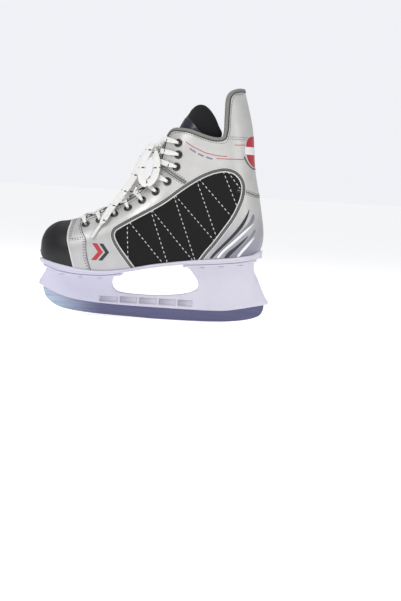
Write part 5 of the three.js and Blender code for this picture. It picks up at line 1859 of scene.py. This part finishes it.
class SKATE_OT_trims(bpy.types.Operator):
    """Binds the collar and the guard, and lays the pipings along the seams"""
    bl_idname = "skate.trims"
    bl_label = "Bindings and pipings"

    def execute(self, context):
        width = context.scene.skate_boot.binding_width / MM
        line = np.concatenate([FRONT_EDGE, COLLAR_EDGE[1:-1], GUARD_FRONT[1:]])
        path, normals = round_the_back(resampled(line, 1.4), -3.1)
        path, normals = softened(path, 3), unit(softened(normals, 8))
        profile = superellipse(width / 2, 4.1, 2.6, 20)
        bound = sweep(path, normals, profile)
        trim("collar_binding", [bound], edging_vinyl(), "silver_leatherette", with_collar)
        lip = np.array(path) + np.array(normals) * 3.4
        inner = sweep(lip, normals, superellipse(0.45, 0.9, 2.0, 8))
        cord = [(inner[0] + self.below(path, normals, width), inner[1], inner[2])]
        trim("collar_cord", cord, dark_piping(), "silver_leatherette", with_collar)
        outer = beside(PANEL_EDGE, BAND_WIDTH + 0.2)
        pale = on_both(PANEL_EDGE, 0.35, 0.75) + on_both(outer, 0.2, 0.55)
        toe = seam_field(TOE_SEAM, True)
        rim, rim_normals = over_ridge(toe, 0.3)
        pale.append(tube(rim, rim_normals, 0.9, 0.75))
        trim("pale_pipings", pale, pale_piping(), "silver_leatherette", with_boot)
        quarter = QUARTER_SEAM[2:]
        grey = on_both(beside(quarter, 1.4), 0.35, 0.8) + on_both(beside(quarter, -1.4), 0.35, 0.8)
        grey += on_both(VAMP_SEAM[VAMP_SEAM[:, 1] < 24], 0.1, 0.55)
        trim("grey_pipings", grey, grey_piping(), "silver_leatherette", with_boot)
        dark = [tube(*self.throat(side), 1.15, 1.5) for side in (-1, 1)]
        trim("throat_edging", dark, dark_piping(), "silver_leatherette", with_boot)
        field = panel_field()
        band = np.minimum(-field, field + BAND_WIDTH) - 0.05
        x, z = FORM.places[..., 0], FORM.places[..., 2]
        band = np.minimum(band, z - sole_edge(x) + 1)
        shell_piece("panel_band", both_sides(skin(band, 1.0, 0.35, 0.3)), band_cloth(), [],
                    "black_weave", with_boot)
        back, back_normals = round_the_back(to_the_back(HEEL_SEAM), 0.15)
        trim("heel_piping", [tube(back, back_normals, 0.8, 0.6)], grey_piping(),
             "silver_leatherette", with_boot)
        return {"FINISHED"}

    @staticmethod
    def below(path, normals, width):
        """The offset, ring by ring, from the binding's middle to its lower edge."""
        tangent = unit(np.gradient(path, axis=0))
        across = unit(np.cross(tangent, normals))
        shift = across * (width / 2 - 0.1)
        return np.repeat(shift, 8, axis=0)

    @staticmethod
    def throat(side):
        path, normals = side_line(THROAT_EDGE[1:-1], -0.9, side)
        return softened(path, 2), normals


# ---- Stitching -------------------------------------------------------------------------------
QUILTING = [
    ((-129.4, 26.8), (-126.2, -14.4)), ((-125.6, 27), (-85.4, -16.9)),
    ((-101, 43.5), (-77.9, -17)), ((-99.1, 43.7), (-46.8, -13.3)),
    ((-73.3, 62.8), (-43.7, -11.8)), ((-71.5, 64.1), (-20.8, 12.1)),
    ((-46.5, 84.4), (-17.9, 16.1)), ((-42.8, 85.9), (-0.7, 42.8)),
    ((-14.1, 97.1), (3.9, 58.7)), ((-7.8, 96.8), (7.2, 79.0))]
COLLAR_STITCHES = spline([
    (-85.4, 135), (-79.9, 141.5), (-72.5, 143), (-59.4, 141.6), (-46.4, 137.4), (-34.4, 134),
    (-23.5, 132.8), (-13.5, 134), (-9.5, 146), (-9.4, 160), (-9.1, 175), (-8, 188),
    (-4.5, 193.6), (3.5, 195.6)], 90)
PATCH_STITCHES = spline([(-199, 3.2), (-189, 5), (-182, 6), (-180.8, 3), (-180.2, -6),
                         (-178, -20), (-174, -31)], 40)


def rows_on_both(line, out):
    """Places and facings for a row of stitches on both sides."""
    line = above_sole(resampled(line, ROW_PITCH), 0.5)
    return [side_line(line, out, side) for side in (-1, 1)]


class SKATE_OT_stitching(bpy.types.Operator):
    """Sews the quilting, the seams, the collar and the toe"""
    bl_idname = "skate.stitching"
    bl_label = "Stitching"

    def execute(self, context):
        pale, dark = ink(228, 228, 220), ink(62, 62, 66)
        rows = [row for line in QUILTING for row in rows_on_both(line, -0.2)]
        self.sew("panel_quilting", rows, thread("pale_thread", pale), with_boot, 1.75)
        rows = rows_on_both(beside(PANEL_EDGE, 1.6), 0.42)
        rows += rows_on_both(beside(PANEL_EDGE, 3.4), 0.42)
        rows += rows_on_both(beside(THROAT_EDGE[3:-3], -3.2), 0.1)
        rows += rows_on_both(beside(QUARTER_SEAM[3:-2], 3.6), 0.1)
        rows += rows_on_both(beside(QUARTER_SEAM[3:-2], -3.6), 0.1)
        rows += rows_on_both(beside(VAMP_SEAM[VAMP_SEAM[:, 1] < 22], -2.2), 0.1)
        rows += rows_on_both(PATCH_STITCHES, 0.65)
        rows += rows_on_both(beside(PATCH_STITCHES, -1.8), 0.65)
        toe = seam_field(TOE_SEAM, True)
        rows += [over_ridge(toe + 2.6, 0.15), over_ridge(toe + 4.4, 0.15)]
        low, high = beside(HEEL_SEAM, -2.3), beside(HEEL_SEAM, 2.3)
        rows += [round_the_back(to_the_back(low), 0.1), round_the_back(to_the_back(high), 0.1)]
        self.sew("seam_stitching", rows, thread("grey_thread", dark), with_boot)
        rows = rows_on_both(COLLAR_STITCHES, 0.1)
        joint = [(-11.5, JOINT_LEVEL + 2.2), (8, JOINT_LEVEL + 2.2), (16, JOINT_LEVEL + 2.2)]
        rows.append(round_the_back(resampled(joint, ROW_PITCH), 0.1))
        self.sew("collar_stitching", rows, thread("grey_thread", dark), with_collar)
        return {"FINISHED"}

    @staticmethod
    def sew(name, rows, material, follow, scale=1.0):
        settled(stitched(name, rows, material, scale), "lining_fabric", follow)


# ---- Prints -----------------------------------------------------------------------------------
BLACK_SWEEPS = [
    [(21.2, 56.9), (19.9, 44.3), (15.1, 32.8), (6.6, 21.1), (-2.1, 11.3), (-10.7, 2.2),
     (-18.1, -6.1), (-21.5, -10.7), (-26, -11), (-18.4, -0.9), (-8.5, 9.6), (0.1, 19.4),
     (8.6, 30.4), (14.9, 40.7), (19.1, 49.5)],
    [(23.4, 22.4), (16.3, 12.2), (7.7, 2.4), (0.3, -5.9), (-2.4, -9.5), (-8, -9.9),
     (-2.6, -1.2), (6.8, 6.3), (15.5, 14.8)]]
WHITE_SWEEPS = [
    [(30.3, 38.7), (19.5, 25.6), (4.6, 9.8), (-9.1, -2.9), (-13.3, -9.8), (-17.2, -10),
     (-10.6, -0.4), (3.1, 13), (18, 28.4)],
    [(31.3, 21.9), (24.4, 9.6), (15.8, -0.8), (11.6, -6.9), (7.7, -7.6), (13.1, 1),
     (21.7, 11.5)]]
GREY_SWEEPS = [
    [(26, 50), (22, 38), (14, 27), (4, 16), (-6, 5.5), (-13, -2), (-18, -10), (-14.5, -10),
     (-7, -1.5), (4, 10.5), (17, 25), (29, 40)],
    [(29, 30), (24, 20), (15, 9), (6, -0.5), (0.5, -8.5), (6, -8), (13, 1.6), (23, 14),
     (31, 26)]]
RED_LINES = [
    [(-63.3, 131.7), (-52.3, 125.7), (-38.8, 120), (-24.1, 117.2), (-10.9, 117)],
    [(-23.9, 113.6), (-9.4, 113.8), (10.4, 114.6)], [(-2.5, 131.7), (10.6, 132.5)]]
GREY_BARS = [[(-58, 124), (-50, 119.6)], [(-47, 118.2), (-40, 115.4)],
             [(-37, 114.6), (-29, 112.6)]]
BACK_BADGE = [(11.5, 133), (13, 140), (19, 145.5), (60, 146), (60, 104), (25, 104), (17.5, 110),
              (13, 119)]
BADGE_BAND = [(9, 121), (60, 121), (60, 130.5), (9, 130.5)]
BADGE_CURVE = [(10.4, 118), (11.7, 115.1), (16, 108.8), (22, 103.6), (25.8, 100.8)]
TOE_CHEVRONS = {
    "red_ink": [[(-171.5, 0), (-165, 0), (-157, -10.5), (-165, -21), (-171.5, -21),
                 (-163.5, -10.5)]],
    "black_ink": [[(-162.5, 0), (-157.5, 0), (-149.5, -10.5), (-157.5, -21), (-162.5, -21),
                   (-154.5, -10.5)]]}


def rounded(outline, passes=2):
    """A closed outline with its corners cut, pass after pass."""
    ring = np.asarray(outline, float)
    for _ in range(passes):
        ahead = np.roll(ring, -1, axis=0)
        ring = np.stack([ring * 0.75 + ahead * 0.25, ring * 0.25 + ahead * 0.75], 1).reshape(-1, 2)
    return ring


def fine_patch(line_field, low, high, out, thickness):
    """A thin printed skin on a fine local grid between two side-view corners."""
    x, z = np.meshgrid(np.arange(low[0] - 1, high[0] + 1, 0.5),
                       np.arange(low[1] - 1, high[1] + 1, 0.5), indexing="ij")
    flat = np.stack([x, z], -1)
    places, normals = on_boot(-1, flat.reshape(-1, 2))
    places, normals = places.reshape(*x.shape, 3), normals.reshape(*x.shape, 3)
    p, n, faces = clipped(places + normals * out, normals, line_field(flat) - 0.08, False)
    a, b, c = (p[faces[0][k]] for k in range(3))
    if np.dot(np.cross(b - a, c - a), n[faces[0][0]]) < 0:
        faces = [face[::-1] for face in faces]
    return thick_skin(p, n, faces, thickness, 0.08, 1)


def print_of(outline, out=0.16, passes=2):
    """A print on both sides of the boot, from its side-view outline."""
    ring = rounded(outline, passes)
    high = np.minimum(ring.max(0), (38.0, 300.0))

    def field(flat):
        return np.minimum(signed_distance(flat, ring),
                          np.minimum(back_edge(flat[..., 1]) - flat[..., 0] - 0.6,
                                     flat[..., 1] - sole_edge(flat[..., 0])))
    return both_sides(fine_patch(field, ring.min(0), high, out, 0.3))


class SKATE_OT_prints(bpy.types.Operator):
    """Prints the sweeps on the heel, the chevrons by the toe, the lines and the back badge"""
    bl_idname = "skate.prints"
    bl_label = "Prints"

    def execute(self, context):
        inks = {"black_ink": ink(26, 26, 30), "pale_ink": ink(232, 232, 232),
                "grey_ink": ink(128, 128, 140), "red_ink": ink(176, 34, 48)}
        shapes = {"black_ink": [print_of(line, 0.2) for line in BLACK_SWEEPS],
                  "pale_ink": [print_of(line, 0.24) for line in WHITE_SWEEPS],
                  "grey_ink": [print_of(line, 0.14) for line in GREY_SWEEPS], "red_ink": []}
        for name, lines in TOE_CHEVRONS.items():
            shapes[name] += [print_of(line, passes=0) for line in lines]
        for name, made in shapes.items():
            shell_piece(f"boot_{name}", merged(*made), printed(name, inks[name]), [],
                        "silver_leatherette", with_boot)
        lines = [strip for line in RED_LINES for strip in on_both(line, 0.1, 0.42, 0.2)]
        trim("collar_red_lines", lines, printed("red_ink", inks["red_ink"]),
             "silver_leatherette", with_collar)
        bars = [strip for line in GREY_BARS for strip in on_both(line, 0.1, 1.0, 0.2)]
        trim("collar_bars", bars, printed("grey_ink", inks["grey_ink"]),
             "silver_leatherette", with_collar)
        field = region(rounded(BACK_BADGE)) - 0.1
        shell_piece("back_badge", skin(field, 0.3, 0.1, 0.14, left_only=False),
                    printed("red_ink", inks["red_ink"]), [], "silver_leatherette", with_collar)
        field = np.minimum(region(rounded(BACK_BADGE)) + 1.2, region(BADGE_BAND))
        shell_piece("badge_band", skin(field, 0.3, 0.1, 0.26, left_only=False),
                    printed("pale_ink", inks["pale_ink"]), [], "silver_leatherette", with_collar)
        curve = round_the_back(spline(BADGE_CURVE[:-1], 24), 0.2)
        trim("badge_curve", [tube(*curve, 0.9, 0.3)], printed("black_ink", inks["black_ink"]),
             "silver_leatherette", with_collar)
        return {"FINISHED"}


# ---- Settings, panel and run ---------------------------------------------------------------
def colour_property(name, description, default):
    return FloatVectorProperty(name=name, description=description, default=default[:3] + (1.0,),
                               subtype="COLOR", size=4, min=0, max=1)


class SkateBootSettings(bpy.types.PropertyGroup):
    leather_colour: colour_property("Leather", "Colour of the coated leather",
                                    ink(204, 203, 200))
    panel_colour: colour_property("Panel", "Colour of the woven side panels", ink(24, 24, 25))
    stitch_pitch: FloatProperty(name="Stitch pitch", description="From one stitch to the next",
                                default=0.0032, unit="LENGTH", min=0.001, max=0.01)
    stitch_width: FloatProperty(name="Thread width", description="Width of one stitch",
                                default=0.0008, unit="LENGTH", min=0.0002, max=0.003)
    binding_width: FloatProperty(name="Binding width", description="Width of the collar's edge",
                                 default=0.0052, unit="LENGTH", min=0.002, max=0.01)


class SkateLaceSettings(bpy.types.PropertyGroup):
    lace_colour: colour_property("Lace", "Colour of the lace", ink(248, 247, 243))
    lace_width: FloatProperty(name="Lace width", description="Width of the flat lace",
                              default=0.010, unit="LENGTH", min=0.004, max=0.016)
    lace_thickness: FloatProperty(name="Lace thickness", description="Thickness of the lace",
                                  default=0.0013, unit="LENGTH", min=0.0006, max=0.003)
    tracer_pitch: FloatProperty(name="Tracer pitch",
                                description="Between the dark ticks across the lace",
                                default=0.025, unit="LENGTH", min=0.005, max=0.1)


class SkateRunnerSettings(bpy.types.PropertyGroup):
    steel_colour: colour_property("Steel", "Colour of the runner", ink(98, 98, 128))
    plastic_colour: colour_property("Plastic", "Colour of outsole and holder",
                                    ink(205, 202, 214))


OPERATORS = [
    SKATE_OT_stage, SKATE_OT_loose_lace, SKATE_OT_lacing, SKATE_OT_toe, SKATE_OT_quarters,
    SKATE_OT_heel, SKATE_OT_panels, SKATE_OT_tongue, SKATE_OT_lining, SKATE_OT_sole,
    SKATE_OT_runner, SKATE_OT_fixings, SKATE_OT_trims, SKATE_OT_stitching, SKATE_OT_prints,
]


class SKATE_PT_skate(bpy.types.Panel):
    """Lists the skate's operators and settings"""
    bl_idname = "SKATE_PT_skate"
    bl_label = "Skate"
    bl_space_type = "VIEW_3D"
    bl_region_type = "UI"
    bl_category = "Skate"

    def draw(self, context):
        for operator in OPERATORS:
            self.layout.operator(operator.bl_idname)
        for group in ("skate_boot", "skate_lace", "skate_runner"):
            settings = getattr(context.scene, group)
            for key in settings.__annotations__:
                self.layout.prop(settings, key)


CLASSES = [SkateBootSettings, SkateLaceSettings, SkateRunnerSettings, *OPERATORS, SKATE_PT_skate]


def register():
    for cls in CLASSES:
        bpy.utils.register_class(cls)
    bpy.types.Scene.skate_boot = PointerProperty(type=SkateBootSettings)
    bpy.types.Scene.skate_lace = PointerProperty(type=SkateLaceSettings)
    bpy.types.Scene.skate_runner = PointerProperty(type=SkateRunnerSettings)


def unregister():
    del bpy.types.Scene.skate_runner
    del bpy.types.Scene.skate_lace
    del bpy.types.Scene.skate_boot
    for cls in reversed(CLASSES):
        bpy.utils.unregister_class(cls)


def main():
    register()
    for operator in OPERATORS:
        group, name = operator.bl_idname.split(".")
        getattr(getattr(bpy.ops, group), name)()


if __name__ == "__main__":
    main()
